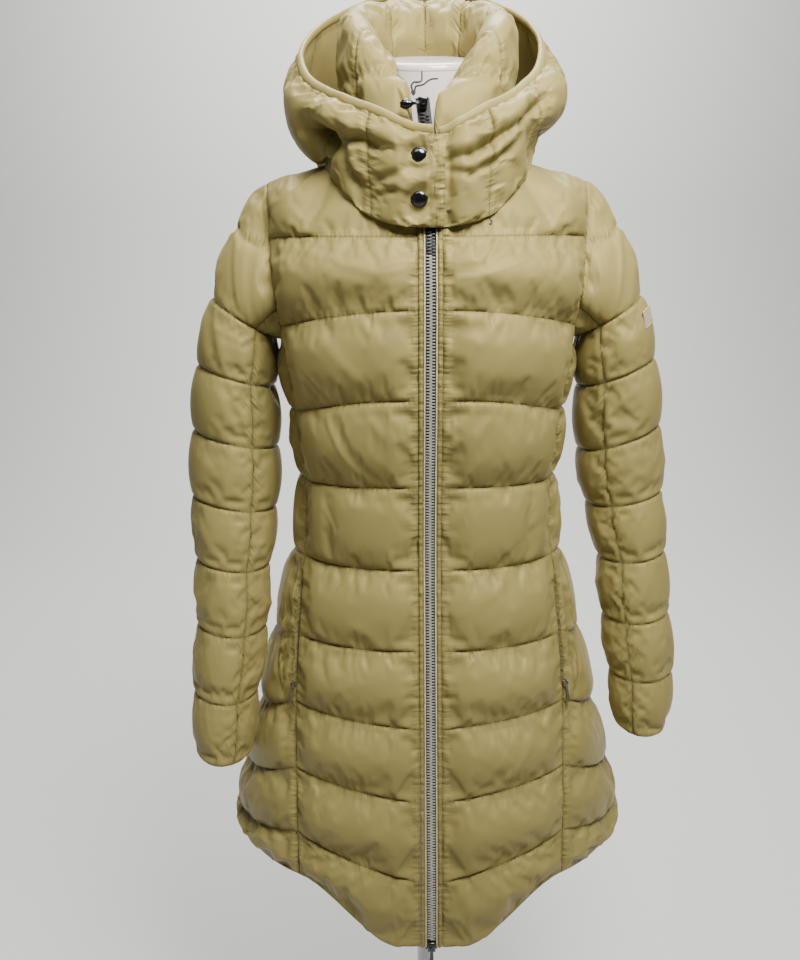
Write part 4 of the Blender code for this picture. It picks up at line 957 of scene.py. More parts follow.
class Quilted:
    """One padded piece: its stitched surface, how it swells, and where it is sewn."""

    def __init__(self, node, surface, normals, height, rows_sewn=(), columns_sewn=(), line=None):
        self.node, self.surface, self.normals, self.height = node, surface, normals, height
        self.rows_sewn, self.columns_sewn = set(rows_sewn), set(columns_sewn)
        rows, columns = surface.shape[:2]
        self.across, self.up = arc_length(surface, 1), arc_length(surface, 0)
        self.to_rows = self.distances(self.up, self.rows_sewn | {0, rows - 1}, 0)
        self.to_columns = self.distances(self.across, self.columns_sewn | {0, columns - 1}, 1)
        sewn_rows = self.distances(self.up, self.rows_sewn, 0)
        self.sewn = np.minimum(sewn_rows, self.distances(self.across, self.columns_sewn, 1))
        if line is not None:
            self.sewn = np.minimum(self.sewn, line)
            self.to_rows = np.minimum(self.to_rows, line)

    @staticmethod
    def distances(along, places, axis):
        """Distance of every point from the nearest of some rows or columns."""
        nearest = np.full(along.shape, 1.0)
        for place in places:
            nearest = np.minimum(nearest, np.abs(along - np.take(along, [place], axis=axis)))
        return nearest

    def held(self):
        rows, columns = self.surface.shape[:2]
        held = np.zeros((rows, columns), bool)
        held[sorted(self.rows_sewn | {0, rows - 1})] = True
        held[:, sorted(self.columns_sewn | {0, columns - 1})] = True
        return held

    def puff(self, share):
        """Blows up the cloth from a share of its height, and halves the spacing of all grids."""
        start = self.surface + self.normals * (self.height * share)[..., None]
        points = billow(start, self.normals, self.held())
        self.outer = hold_back(points, start, self.surface, self.normals)
        for axis, creased in ((0, self.rows_sewn), (1, self.columns_sewn)):
            self.outer = halve(self.outer, creased, axis)
            for name in GRIDS:
                setattr(self, name, halve(getattr(self, name), (), axis, smooth=False))
        self.normals = unit(self.normals)

    def push(self, rise):
        """Moves the cloth out along its normals."""
        self.outer += self.normals * rise[..., None]

    def sew(self, seed, puckers=1.0, creases=1.0, share=0.85):
        """Blows up the cloth, puckers it beside its stitches and creases it."""
        self.puff(share)
        self.pucker(seed, puckers)
        self.creases(seed + 10, creases)

    def pucker(self, seed, strength):
        """Fine puckers along the stitch lines, and longer ones that run into the puffs from a seam."""
        settings = quilt()
        pitch, height = settings.pucker_pitch, settings.pucker * strength
        slant = 0.35 * ripple(seed + 4, self.across / 0.09, self.up / 0.09)
        across, up = self.across + slant * self.to_rows, self.up + slant * self.to_columns
        by_row = ripple(seed, across / pitch, self.up / 0.07)
        by_row += 0.5 * ripple(seed + 1, across / pitch / 1.9, self.up / 0.05)
        by_column = ripple(seed + 2, up / pitch / 1.6, self.across / 0.08)
        by_column += 0.4 * ripple(seed + 3, up / pitch * 1.4, self.across / 0.05)
        long_reach = 0.030 + 0.018 * ripple(seed + 5, self.up / 0.035, self.across / 0.2)
        short_reach = 0.011 + 0.006 * ripple(seed + 6, self.across / 0.02, self.up / 0.2)
        move = by_row * self.beside(self.to_rows, short_reach)
        move = move + by_column * self.beside(self.to_columns, long_reach)
        self.push(move * height)

    @staticmethod
    def beside(distance, far, near=0.002):
        return smoothstep(0.0, near, distance) * (1 - smoothstep(near, far, distance)) ** 1.5

    def creases(self, seed, strength):
        """Soft creases that climb outwards through the puffs, each channel with its own."""
        slant = ripple(seed, self.across / 0.2, self.up / 0.12) * 0.45 - 0.75
        turned = self.across * np.cos(slant) + self.up * np.sin(slant)
        along = -self.across * np.sin(slant) + self.up * np.cos(slant)
        ridge = 1 - 2.8 * np.abs(ripple(seed + 1, turned / 0.030, along / 0.16)) ** 0.8
        patchy = smoothstep(-0.1, 0.7, ripple(seed + 2, turned / 0.07, along / 0.09))
        room = smoothstep(0.0, 0.020, np.minimum(self.to_rows, self.to_columns))
        self.push(ridge * patchy * room * quilt().crease * strength)

    def fold(self, places, depth, width, lip=0.35):
        """A trough along some places, with a rounded lip above it, that takes the inside along."""
        nearest, side, along = np.full(self.to_rows.shape, 1.0), 0 * self.to_rows, 0 * self.to_rows
        legs = list(zip(places, places[1:]))
        for k, (a, b) in enumerate(legs):
            share = np.clip(((self.outer - a) @ (b - a)) / ((b - a) @ (b - a)), 0, 1)
            offset = self.outer - a - share[..., None] * (b - a)
            away = np.linalg.norm(offset, axis=-1)
            closer = away < nearest
            nearest = np.where(closer, away, nearest)
            side = np.where(closer, offset[..., 2], side)
            along = np.where(closer, (k + share) / len(legs), along)
        taper = np.minimum(1, np.sin(np.pi * (0.06 + 0.88 * along)) * 1.6) * depth
        trough = taper * np.exp(-((nearest / width) ** 2))
        above = smoothstep(0.0, width * 0.8, side)
        ridge = lip * taper * above * np.exp(-(((nearest - 1.9 * width) / (1.3 * width)) ** 2))
        self.push(ridge - trough)
        self.surface = self.surface + self.normals * (0.5 * ridge - trough)[..., None]

    def gather(self, seed):
        """Small dense puckers across a narrow strip that is stitched along both edges."""
        self.outer = self.surface + self.normals * self.height[..., None]
        waves = ripple(seed, self.up / 0.0042, self.across / 0.006)
        room = np.sin(np.pi * np.clip(self.across / self.across[:, -1:], 0, 1))
        self.push(0.0011 * waves * room)

    def finish(self, name, every=(8, 8), lining=None, fill=0.6):
        """Closes the wall with a plain inside, or a lining, and hands the piece over."""
        rows, columns = self.outer.shape[:2]
        keep_rows = sorted(set(range(0, rows, every[0])) | {rows - 1})
        keep_columns = sorted(set(range(0, columns, every[1])) | {columns - 1})
        inner = self.surface - self.normals * WALL if lining is None else lining(self)
        index = np.arange(rows * columns).reshape(rows, columns)
        inside = rows * columns + np.arange(len(keep_rows) * len(keep_columns))
        inside = inside.reshape(len(keep_rows), len(keep_columns))
        kept = inner[np.ix_(keep_rows, keep_columns)]
        points = np.concatenate([self.outer.reshape(-1, 3), kept.reshape(-1, 3)])
        outward = facing(self.outer, self.normals)
        faces = [tuple(f if outward else f[::-1]) for f in quads(index)]
        faces += [tuple(f[::-1] if outward else f) for f in quads(inside)]
        rims = (
            (index[0], inside[0], keep_columns, False),
            (index[-1], inside[-1], keep_columns, True),
            (index[:, 0], inside[:, 0], keep_rows, True),
            (index[:, -1], inside[:, -1], keep_rows, False),
        )
        for edge, back, places, turned in rims:
            for k, (a, b) in enumerate(zip(places, places[1:])):
                face = (*edge[a : b + 1], back[k + 1], back[k])
                faces.append(face[::-1] if turned == outward else face)
        self.deliver(new_object(name, points, faces), keep_rows, keep_columns)

    def finish_round(self, name):
        """Closes a piece whose rows run all round it, with a face at each end."""
        rows, columns = self.outer.shape[:2]
        index = np.arange(rows * columns).reshape(rows, columns)
        wrapped = np.concatenate([index, index[:1]])
        faces = [tuple(f) for f in quads(wrapped)] + [tuple(index[:, 0]), tuple(index[::-1, -1])]
        obj = new_object(name, self.outer, faces)
        point_out(obj)
        self.deliver(obj, [], [])

    def deliver(self, obj, keep_rows, keep_columns):
        """Stores the measures that the cloth's finish reads, and hands the piece over."""
        whole = [self.across, self.up, np.zeros_like(self.up)]
        self.write(obj, "cloth_mm", whole, keep_rows, keep_columns)
        self.write(obj, "lines_mm", [self.to_columns, self.to_rows, self.sewn], keep_rows, keep_columns)
        obj.data.shade_smooth()
        obj.data.set_sharp_from_angle(angle=math.radians(75))
        hand_over(obj, self.node, "satin nylon taffeta")

    @staticmethod
    def write(obj, name, grids, keep_rows, keep_columns):
        """Stores three measures of the cloth on its points, in millimetres."""
        stack = np.stack(grids, -1)
        kept = stack[np.ix_(keep_rows, keep_columns)]
        measure(obj, name, np.concatenate([stack.reshape(-1, 3), kept.reshape(-1, 3)]))


def measure(obj, name, values):
    """Stores three measures per point, given in metres, as millimetres."""
    layer = obj.data.attributes.new(name, "FLOAT_VECTOR", "POINT")
    layer.data.foreach_set("vector", (np.asarray(values) * 1000).astype(np.float32).ravel())


def select_only(obj):
    bpy.ops.object.select_all(action="DESELECT")
    obj.select_set(True)
    bpy.context.view_layer.objects.active = obj


def point_out(obj):
    """Turns the faces of a closed piece outwards."""
    select_only(obj)
    bpy.ops.object.mode_set(mode="EDIT")
    bpy.ops.mesh.select_all(action="SELECT")
    bpy.ops.mesh.normals_make_consistent(inside=False)
    bpy.ops.object.mode_set(mode="OBJECT")


def tube_of(name, rings):
    """A closed tube through rings of equal length, with flat ends."""
    count, sides = rings.shape[:2]
    index = np.arange(count * sides).reshape(count, sides)
    wrapped = np.concatenate([index, index[:, :1]], axis=1)
    faces = [tuple(f) for f in quads(wrapped)] + [tuple(index[0][::-1]), tuple(index[-1])]
    obj = new_object(name, rings, faces)
    point_out(obj)
    obj.data.shade_smooth()
    return obj


def rings_along(path, radius, sides=8, closed=False):
    """Round rings of a tube along a path, without twist."""
    path = np.asarray(path, float)
    if closed:
        tangents = unit(np.roll(path, -1, 0) - np.roll(path, 1, 0))
    else:
        tangents = unit(np.gradient(path, axis=0))
    side = unit(np.cross(tangents[0], (0.3, 0.2, 1.0)))
    turn = np.arange(sides) * 2 * math.pi / sides
    rings = []
    for point, tangent in zip(path, tangents):
        side = unit(side - tangent * (side @ tangent))
        up = np.cross(tangent, side)
        ring = np.outer(np.cos(turn), side) + np.outer(np.sin(turn), up)
        rings.append(point + radius * ring)
    return np.array(rings)


def hand_over(obj, nodes, look, body="coat"):
    """Gives a finished piece its material, its body and the nodes that it stands for."""
    obj.data.materials.clear()
    obj.data.materials.append(finish(look))
    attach(obj, body)
    if nodes:
        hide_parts(*([nodes] if isinstance(nodes, str) else nodes))
    return obj


def spaced(low, high, step):
    """Even places from low to high, about a step apart."""
    return np.linspace(low, high, max(2, round(abs(high - low) / step) + 1))


def channels(lines, count):
    """Heights of the rows between stitch lines, how far each is through its channel, and the sewn rows."""
    phases = np.arange(count) / count
    heights, phase = [], []
    for low, high in zip(lines, lines[1:]):
        heights += [low + (high - low) * step for step in phases]
        phase += list(phases)
    heights.append(lines[-1])
    phase.append(0.0)
    return np.array(heights), np.array(phase), list(range(0, len(phase), count))


# Pieces of cloth

COLLAR_ROUND = 0.007  # over which the collar's front edges round off
COLLAR_LINE_Z = 1.449  # height of the stitch line round the outside of the collar
BINDING_RISE, BINDING_WIDE, BINDING_TALL = 0.0028, 0.0036, 0.0058
# Folds of the hood in millimetres: the places that each runs through, its depth and its width
HOOD_FOLDS = {
    "left": (
        (((-133, -62, 1399), (-118, -76, 1389), (-101, -95, 1380)), 28, 11),
        (((-101, -97, 1383), (-75, -113, 1379), (-59, -118, 1372), (-23, -126, 1366)), 7, 6),
        (((-94, -103, 1389), (-91, -99, 1358), (-75, -105, 1332)), 6, 6),
        (((-22, -127, 1348), (-40, -127, 1341), (-60, -114, 1336)), 3.5, 5),
        (((-23, -123, 1322), (-38, -126, 1327), (-55, -114, 1323)), 3, 4),
        (((-6, -124, 1350), (-3, -127, 1337), (-6, -124, 1325)), 2, 3),
    ),
    "right": (
        (((14, -124, 1355), (43, -126, 1361), (70, -112, 1379), (100, -97, 1401), (130, -62, 1432)), 9, 6),
        (((14, -124, 1348), (41, -126, 1342), (71, -110, 1357), (100, -96, 1386)), 5, 5),
        (((47, -120, 1387), (69, -110, 1393)), 2.5, 5),
    ),
}


def mirrored(mirror, *grids):
    """The grids on their own side of the coat."""
    return [grid * np.array([mirror, 1, 1]) for grid in grids]


def front_grid(mirror):
    """Stitched surface of a front panel, ten channels from the hem to the shoulder."""
    share = spaced(0, 1, 0.8 * quilt().body_step / PANEL_WIDTH)
    centre, princess, bend = (LINES(name, BODY_LINES)[:, None] for name in ("centre", "princess", "bend"))
    rise = np.where(BODY_LINES[:, None] == 0, smoothstep(HEM_LEVEL, 1, share), share**bend)
    lines = list(centre + (princess - centre) * rise)
    lines.append(neck_z(FRONT_START + share * (SHOULDER_X - FRONT_START), NECK_DIP_FRONT))
    z, phase, sewn = channels(lines, BODY_ROWS)
    x = FRONT_START + share * (BODY("edge", z) - GAP / 2 - pocket_slot(z) - FRONT_START)
    points, normals = body_point(x, z, "front"), body_normal(x, z, "front")
    height = quilt().body_loft * swell(phase)[:, None]
    height = height * fade(x - FRONT_START) * fade((1 - share) * BODY("edge", z))
    height = np.where(z > LINES("centre", 9), height * under_hood(points), height)
    return *mirrored(mirror, points, normals), height, sewn[1:-1]


def back_grid():
    """Stitched surface of the back panel, ten channels from the hem to the shoulders."""
    half = spaced(0, 1, quilt().body_step / PANEL_WIDTH)
    share = np.concatenate([-half[:0:-1], half])
    centre, seam = (LINES(name, BODY_LINES)[:, None] for name in ("centre_back", "back_seam"))
    lines = list(centre + (seam - centre) * np.abs(share) ** 1.6)
    lines.append(neck_z(share * SHOULDER_X, NECK_DIP_BACK))
    z, phase, sewn = channels(lines, BODY_ROWS)
    x = share * (BODY("back_edge", z) - GAP / 2)
    points, normals = body_point(x, z, "back"), body_normal(x, z, "back")
    height = quilt().body_loft * swell(phase)[:, None] * fade(BODY("back_edge", z) - np.abs(x))
    height = np.where(z > LINES("centre_back", 9), height * under_hood(points), height)
    return points, normals, height, sewn[1:-1]


POCKET_BAG = 0.036  # how far the pocket bag's outline lies behind the front seam
POCKET_FACING = 0.014  # the same for the inner of its two stitch lines
POCKET_CRINKLE = 0.0034  # how far the crinkles over the bag stand out


def pocket_bag(from_seam, z):
    """1 inside the pocket bag's stitched outline and 0 outside, and the distance from its stitch lines."""
    reach = POCKET_BAG * np.sqrt(np.clip((z - POCKET_BOTTOM + 0.018) / 0.05, 0, 1)) * (z < POCKET_TOP + 0.02)
    facing_line = np.abs(from_seam - POCKET_FACING) + (reach < POCKET_FACING)
    outline = np.abs(from_seam - reach) + (reach == 0)
    return smoothstep(-0.002, 0.004, reach - from_seam), np.minimum(outline, facing_line)


def side_grid(mirror):
    """Stitched surface of a side panel, and its distance from the pocket bag's stitch lines."""
    across = spaced(0, 1, quilt().body_step / SIDE_WIDTH)
    princess, seam, sag = (LINES(name, SIDE_LINES)[:, None] for name in ("princess", "back_seam", "sag"))
    lines = list(princess + (seam - princess) * across - sag * np.sin(np.pi * across))
    lines.append(armhole_z(across) - GAP)
    z, phase, sewn = channels(lines, BODY_ROWS)
    across = across + 0 * z
    points, normals = side_point(across, z), side_normal(across, z)
    girth = arc_length(points, 1)[:, -1:]
    height = quilt().body_loft * swell(phase)[:, None] * fade(across * girth) * fade((1 - across) * girth)
    height = height * pocket_flat(across, z) * fade(armhole_z(across) - z, 0.06)
    inside, line = pocket_bag(across * girth, z)
    height = height * (1 - 0.5 * inside)
    return *mirrored(mirror, points, normals), height, sewn[1:-1], line


def sleeve_grid(side, mirror, first, last):
    """Stitched surface of one sleeve piece, and its distance from the stitch line across the cap."""
    table = SLEEVES[side]
    lines = table.data[0][::-1]
    top, low = lines[0], lines[-1]
    turns = np.radians(spaced(first, last, 5.8))
    cap_steps = np.arange(CAP_ROWS) / CAP_ROWS
    q, phase, sewn = channels(list(lines), SLEEVE_ROWS)
    along = np.concatenate([cap_steps, 1 + (top - q) / (top - low)])
    turn, along = np.meshgrid(turns, along)
    points, normals = sleeve_point(table, turn, along), sleeve_normal(table, turn, along)
    reach = sleeve_ring(table, np.full_like(turn, top), turn)
    level = points[..., 2] - (reach[..., 2] - top)
    upper = (level - top) / (CAP_LINE - top)
    phase = np.where(along < 1, upper, np.concatenate([cap_steps, phase])[:, None])
    from_seam = np.linalg.norm(points - points[:1], axis=-1)
    height = quilt().sleeve_loft * swell(phase) * fade(from_seam)
    height = height * (1 - 0.4 * smoothstep(CAP_LINE - 0.008, CAP_LINE + 0.012, level))
    to_seam = np.minimum(turn - turn[:, :1], turn[:, -1:] - turn)
    height = height * (0.6 + 0.4 * fade(to_seam * 0.05, 0.012))
    cap_line = np.where(along < 1, np.abs(level - CAP_LINE), 1.0)
    sewn_rows = [CAP_ROWS + row for row in sewn[:-1]]
    return *mirrored(mirror, points, normals), height, sewn_rows, cap_line


def hood_grid(mirror):
    """Stitched surface of one half of the hood, from the neck seam to the brim."""
    left = mirror < 0
    sewn_degrees = np.linspace(30, 180, HOOD_TURNS)
    start = -OVERLAP_DEG if left else 0.5
    degrees = list(spaced(start, 30, 2.1)[:-1])
    sewn = []
    for low, high in zip(sewn_degrees, sewn_degrees[1:]):
        sewn.append(len(degrees))
        degrees += list(low + (high - low) * np.arange(HOOD_COLUMNS) / HOOD_COLUMNS)
    degrees.append(180.0)
    turn, share = np.meshgrid(np.radians(degrees), np.linspace(0, 1, HOOD_ROWS))
    if left:
        rounding = 5.0 * smoothstep(0.62, 1.0, share) * (turn < 0)
        turn = turn + np.radians(rounding) * np.clip(-np.degrees(turn) / OVERLAP_DEG, 0, 1)
    turn = turn * mirror
    points, normals = hood_point(turn, share), hood_normal(turn, share)
    points[:, -1, 0] += GAP / 2 * mirror
    away = np.abs(np.degrees(turn))
    height = quilt().hood_loft * fade(share * HOOD_RISE, 0.02) * fade((1 - share) * HOOD_RISE, 0.02)
    swollen = swell(np.clip((away - 30) / 30, -1, 5))
    front = fade(np.radians(np.clip(30 - away, 0, 60)) * 0.12, 0.025)
    height = height * np.where(away > 30, swollen, front)
    line = np.full(height.shape, 1.0)
    if left:
        to_edge = np.degrees(turn.max(axis=1, keepdims=True) - turn) * HOOD_DEGREE
        height = height * fade(to_edge, 0.014) * snap_flat(points)
        height = np.where(np.degrees(turn) > 0, height * 0.3, height)
        height = height + 0.0014 * smoothstep(0.030, 0.004, to_edge)
        line = np.minimum(np.abs(to_edge - 0.0035), np.abs(to_edge - 0.0085))
    else:
        height = height * smoothstep(8, 17, away)
        points = points - normals * (UNDERLAP * smoothstep(12.5, 8.5, away))[..., None]
    return points, normals, height, sewn, line


def collar_grid():
    """The collar's profile, up its outside, over the top and down the inside, all round the neck."""
    share = np.linspace(-1, 1, COLLAR_COLUMNS * COLLAR_TURNS + 1)
    profile = np.linspace(0, 1, COLLAR_ROWS)
    lean = smoothstep(0.2, 0.5, profile) * smoothstep(0.8, 0.5, profile)
    start = COLLAR_START_DEG + (COLLAR_V_DEG - COLLAR_START_DEG) * lean
    columns, heights, outwards = [], [], []
    for s in share:
        turn = np.radians(start + (180 - start) * (1 - abs(s))) * (1 if s > 0 else -1)
        turn = turn - math.radians(COLLAR_LEAN_DEG) * abs(s) ** 8 * np.sin(np.pi * profile) ** 2
        away = degrees_round(turn)
        neck = neck_point(turn)
        outward = unit(neck * np.array([1, 1, 0]))
        outer, thick, top = COLLAR("radius", away), COLLAR("thickness", away), COLLAR("top", away)
        low, lift = neck[:, 2], np.array([0, 0, COLLAR_LIFT])
        middle_z = (low + top) / 2
        controls = [
            neck + outward * 0.004 + lift,
            polar(turn, outer - 0.003, low + 0.028),
            polar(turn, outer, middle_z),
            polar(turn, outer - 0.002, top - 0.016),
            polar(turn, outer - thick / 2, top),
            polar(turn, outer - thick + 0.002, top - 0.016),
            polar(turn, outer - thick, middle_z),
            polar(turn, outer - 0.85 * thick, low + 0.028),
            neck - outward * 0.004 + lift,
        ]
        points = spline(controls, profile)
        middle = polar(turn, outer - thick / 2, middle_z)
        edge = np.clip((1 - abs(s)) * 0.32 / COLLAR_ROUND, 0, 1)
        points = middle + (points - middle) * (0.6 + 0.4 * np.sqrt(1 - (1 - edge) ** 2))
        columns.append(points)
        outwards.append(unit(points - middle))
        swollen = quilt().collar_loft * swell(np.array([(1 - abs(s)) * COLLAR_TURNS / 2]))
        heights.append(swollen * fade(profile, 0.12) * fade(1 - profile, 0.12))
    points = np.stack(columns, 1)
    across_line = np.where(profile < 0.5, 1, 40)[:, None] * np.abs(points[..., 2] - COLLAR_LINE_Z)
    height = np.stack(heights, 1) * (1 - 0.75 * np.exp(-((across_line / 0.008) ** 2)))
    sewn = list(range(COLLAR_COLUMNS, len(share) - 1, COLLAR_COLUMNS))
    return points, np.stack(outwards, 1), height, sewn, across_line


def hood_lining(half):
    """Inside of the hood: quilted where it stands clear of the collar."""
    share = np.linspace(0, 1, half.surface.shape[0])[:, None]
    rise = 0.004 * smoothstep(0.45, 0.6, share) * smoothstep(1.0, 0.93, share)
    rise = rise * np.clip(half.to_columns / 0.02, 0, 1) ** 0.6
    return half.surface - half.normals * (WALL + rise)[..., None]


def brim_binding(half, side, sides=16):
    """The folded binding: a soft roll that wraps the brim of one half of the hood."""
    shown = slice(0 if side == "left" else 3, None, 2)
    edge, facing_out = half.outer[-1, shown], half.normals[-1, shown]
    up = unit(edge - half.surface[-7, shown])
    centre = edge + up * BINDING_RISE - facing_out * WALL / 2
    along = arc_length(edge[None], 1)[0]
    turn = np.radians(np.arange(sides) * 360 / sides)[:, None]
    rings = []
    for k, (middle, out, rise) in enumerate(zip(centre, facing_out, up)):
        size = 1 + 0.06 * ripple(560, np.array([along[k] / 0.012]), np.array([0.5]))[0]
        size *= math.sqrt(min(1.0, 0.3 + min(k, len(centre) - 1 - k) / 4))
        ring = out * np.cos(turn) * BINDING_WIDE + rise * np.sin(turn) * BINDING_TALL
        rings.append(middle + ring * size)
    obj = tube_of(f"folded_brim_{side}", np.array(rings))
    around = np.tile(np.arange(sides) * 0.0012, len(along))
    measure(obj, "cloth_mm", np.stack([np.repeat(along, sides), around, 0 * around], -1))
    measure(obj, "lines_mm", np.full((len(around), 3), 1.0))
    hand_over(obj, f"brim_binding_{side}", "smooth nylon taffeta")


class COAT_OT_front_panels(bpy.types.Operator):
    """Makes the two quilted front panels"""

    bl_idname = "coat.front_panels"
    bl_label = "Front panels"

    def execute(self, context):
        for k, (side, mirror) in enumerate(SIDES):
            *grids, sewn = front_grid(mirror)
            panel = Quilted(f"front_{side}", *grids, rows_sewn=sewn)
            panel.sew(100 + 20 * k)
            panel.finish(f"front_panel_{side}")
        return {"FINISHED"}


class COAT_OT_side_panels(bpy.types.Operator):
    """Makes the side panels, with the flat pocket bag behind the front seam"""

    bl_idname = "coat.side_panels"
    bl_label = "Side panels"

    def execute(self, context):
        for k, (side, mirror) in enumerate(SIDES):
            *grids, sewn, line = side_grid(mirror)
            panel = Quilted(f"side_{side}", *grids, rows_sewn=sewn, line=line)
            panel.sew(200 + 20 * k)
            inside, _ = pocket_bag(panel.across, panel.surface[..., 2])
            slanted = (panel.up + 0.4 * panel.across) / 0.0055
            crinkles = inside * (0.5 + 0.5 * ripple(230 + 20 * k, panel.across / 0.024, slanted))
            panel.push(POCKET_CRINKLE * crinkles)
            panel.finish(f"side_panel_{side}")
        return {"FINISHED"}


class COAT_OT_back_panel(bpy.types.Operator):
    """Makes the quilted back panel"""

    bl_idname = "coat.back_panel"
    bl_label = "Back panel"

    def execute(self, context):
        *grids, sewn = back_grid()
        panel = Quilted("back", *grids, rows_sewn=sewn)
        panel.sew(300)
        panel.finish("back_panel")
        return {"FINISHED"}


class COAT_OT_sleeves(bpy.types.Operator):
    """Makes the top and under sleeve of both arms"""

    bl_idname = "coat.sleeves"
    bl_label = "Sleeves"

    def execute(self, context):
        near, far = SEAM_DEG - SEAM_GAP_DEG, SEAM_DEG + SEAM_GAP_DEG
        spans = {"top": (-near, near), "under": (far, 360 - far)}
        for k, (side, mirror) in enumerate(SIDES):
            for m, (place, span) in enumerate(spans.items()):
                *grids, sewn, cap_line = sleeve_grid(side, mirror, *span)
                piece = Quilted(f"sleeve_{place}_{side}", *grids, rows_sewn=sewn, line=cap_line)
                piece.sew(400 + 40 * k + 20 * m, creases=0.8)
                piece.finish(f"{place}_sleeve_{side}")
        return {"FINISHED"}


class COAT_OT_hood(bpy.types.Operator):
    """Makes the two halves of the folded-down hood and their brim bindings"""

    bl_idname = "coat.hood"
    bl_label = "Hood"

    def execute(self, context):
        for k, (side, mirror) in enumerate(SIDES):
            *grids, sewn, line = hood_grid(mirror)
            half = Quilted(f"hood_{side}", *grids, columns_sewn=sewn, line=line)
            half.sew(500 + 20 * k, puckers=0.6, creases=0.3)
            for places, depth, width in HOOD_FOLDS[side]:
                half.fold(np.array(places) / 1000, depth / 1000, width / 1000)
            half.finish(f"hood_half_{side}", every=(2, 2), lining=hood_lining)
            brim_binding(half, side)
        return {"FINISHED"}


class COAT_OT_collar(bpy.types.Operator):
    """Makes the puffy stand collar"""

    bl_idname = "coat.collar"
    bl_label = "Collar"

    def execute(self, context):
        *grids, sewn, line = collar_grid()
        collar = Quilted("collar", *grids, columns_sewn=sewn, line=line)
        collar.sew(600, creases=0.7, share=0.8)
        collar.finish_round("stand_collar")
        return {"FINISHED"}


# Zips and small pieces


def edit_faces(obj):
    """Opens a mesh for editing by its faces."""
    select_only(obj)
    bpy.ops.object.mode_set(mode="EDIT")
    bpy.ops.mesh.select_mode(type="FACE")


def pick_faces(obj, wanted):
    """Selects only the faces that a test of their centre and normal accepts."""
    bpy.ops.mesh.select_all(action="DESELECT")
    bm = bmesh.from_edit_mesh(obj.data)
    for face in bm.faces:
        face.select_set(wanted(face.calc_center_median(), face.normal))
    bm.select_flush_mode()
    bmesh.update_edit_mesh(obj.data)


def extrude(x, y, z):
    bpy.ops.mesh.extrude_region_move(TRANSFORM_OT_translate={"value": (x, y, z)})


def close_edit(obj, angle=35):
    bpy.ops.object.mode_set(mode="OBJECT")
    bpy.ops.object.shade_smooth_by_angle(angle=math.radians(angle))
    return obj


def soft_edges(obj, width, segments=2, angle=30):
    """Rounds the edges of a hard piece."""
    bevel = obj.modifiers.new("edges", "BEVEL")
    bevel.width, bevel.segments = width, segments
    bevel.limit_method, bevel.angle_limit = "ANGLE", math.radians(angle)
    select_only(obj)
    bpy.ops.object.modifier_apply(modifier=bevel.name)


def put(obj, name, frame_matrix):
    """Names a piece and moves its mesh to its place on the coat."""
    obj.name = obj.data.name = name
    obj.data.transform(frame_matrix @ obj.matrix_world)
    obj.matrix_world = Matrix.Identity(4)
    return obj


def box_piece(size, place=(0, 0, 0)):
    bpy.ops.object.select_all(action="DESELECT")
    bpy.ops.mesh.primitive_cube_add(size=1, location=place, scale=size)
    bpy.ops.object.transform_apply(location=True, rotation=False, scale=True)
    return bpy.context.object


def cylinder(radius, depth, z=0, vertices=48):
    bpy.ops.object.select_all(action="DESELECT")
    bpy.ops.mesh.primitive_cylinder_add(vertices=vertices, radius=radius, depth=depth, location=(0, 0, z))
    return bpy.context.object


def join_pieces(pieces):
    bpy.ops.object.select_all(action="DESELECT")
    for piece in pieces:
        piece.select_set(True)
    bpy.context.view_layer.objects.active = pieces[0]
    bpy.ops.object.join()
    return bpy.context.object


class COAT_OT_zip_guards(bpy.types.Operator):
    """Makes the puckered guard strip and the piping on each side of the zip"""

    bl_idname = "coat.zip_guards"
    bl_label = "Zip guards"

    def execute(self, context):
        z = spaced(LINES("centre", 0) + 0.001, GUARD_TOP, 0.0018)
        line, normal = front_line(z), front_normal(z)
        across = ZIP_HALF + GAP + GUARD_WIDTH * np.linspace(0, 1, 9)
        crown = 0.0012 + 0.0018 * np.sin(np.pi * np.linspace(0, 1, 9)) ** 0.6
        for k, (side, mirror) in enumerate(SIDES):
            offsets = np.stack([mirror * across, 0 * across, 0 * across], -1)
            surface = line[:, None] + offsets[None]
            normals = np.repeat(normal[:, None], 9, axis=1)
            strip = Quilted(f"zip_guard_{side}", surface, normals, np.tile(crown, (len(z), 1)))
            strip.gather(700 + k)
            strip.finish(f"guard_strip_{side}", fill=0.4)
            edge = line + normal * 0.0022 + np.array([mirror * (ZIP_HALF - 0.0008), 0, 0])
            piping = tube_of(f"guard_piping_{side}", rings_along(edge, 0.0009, 8))
            hand_over(piping, (), "corded piping")
        return {"FINISHED"}


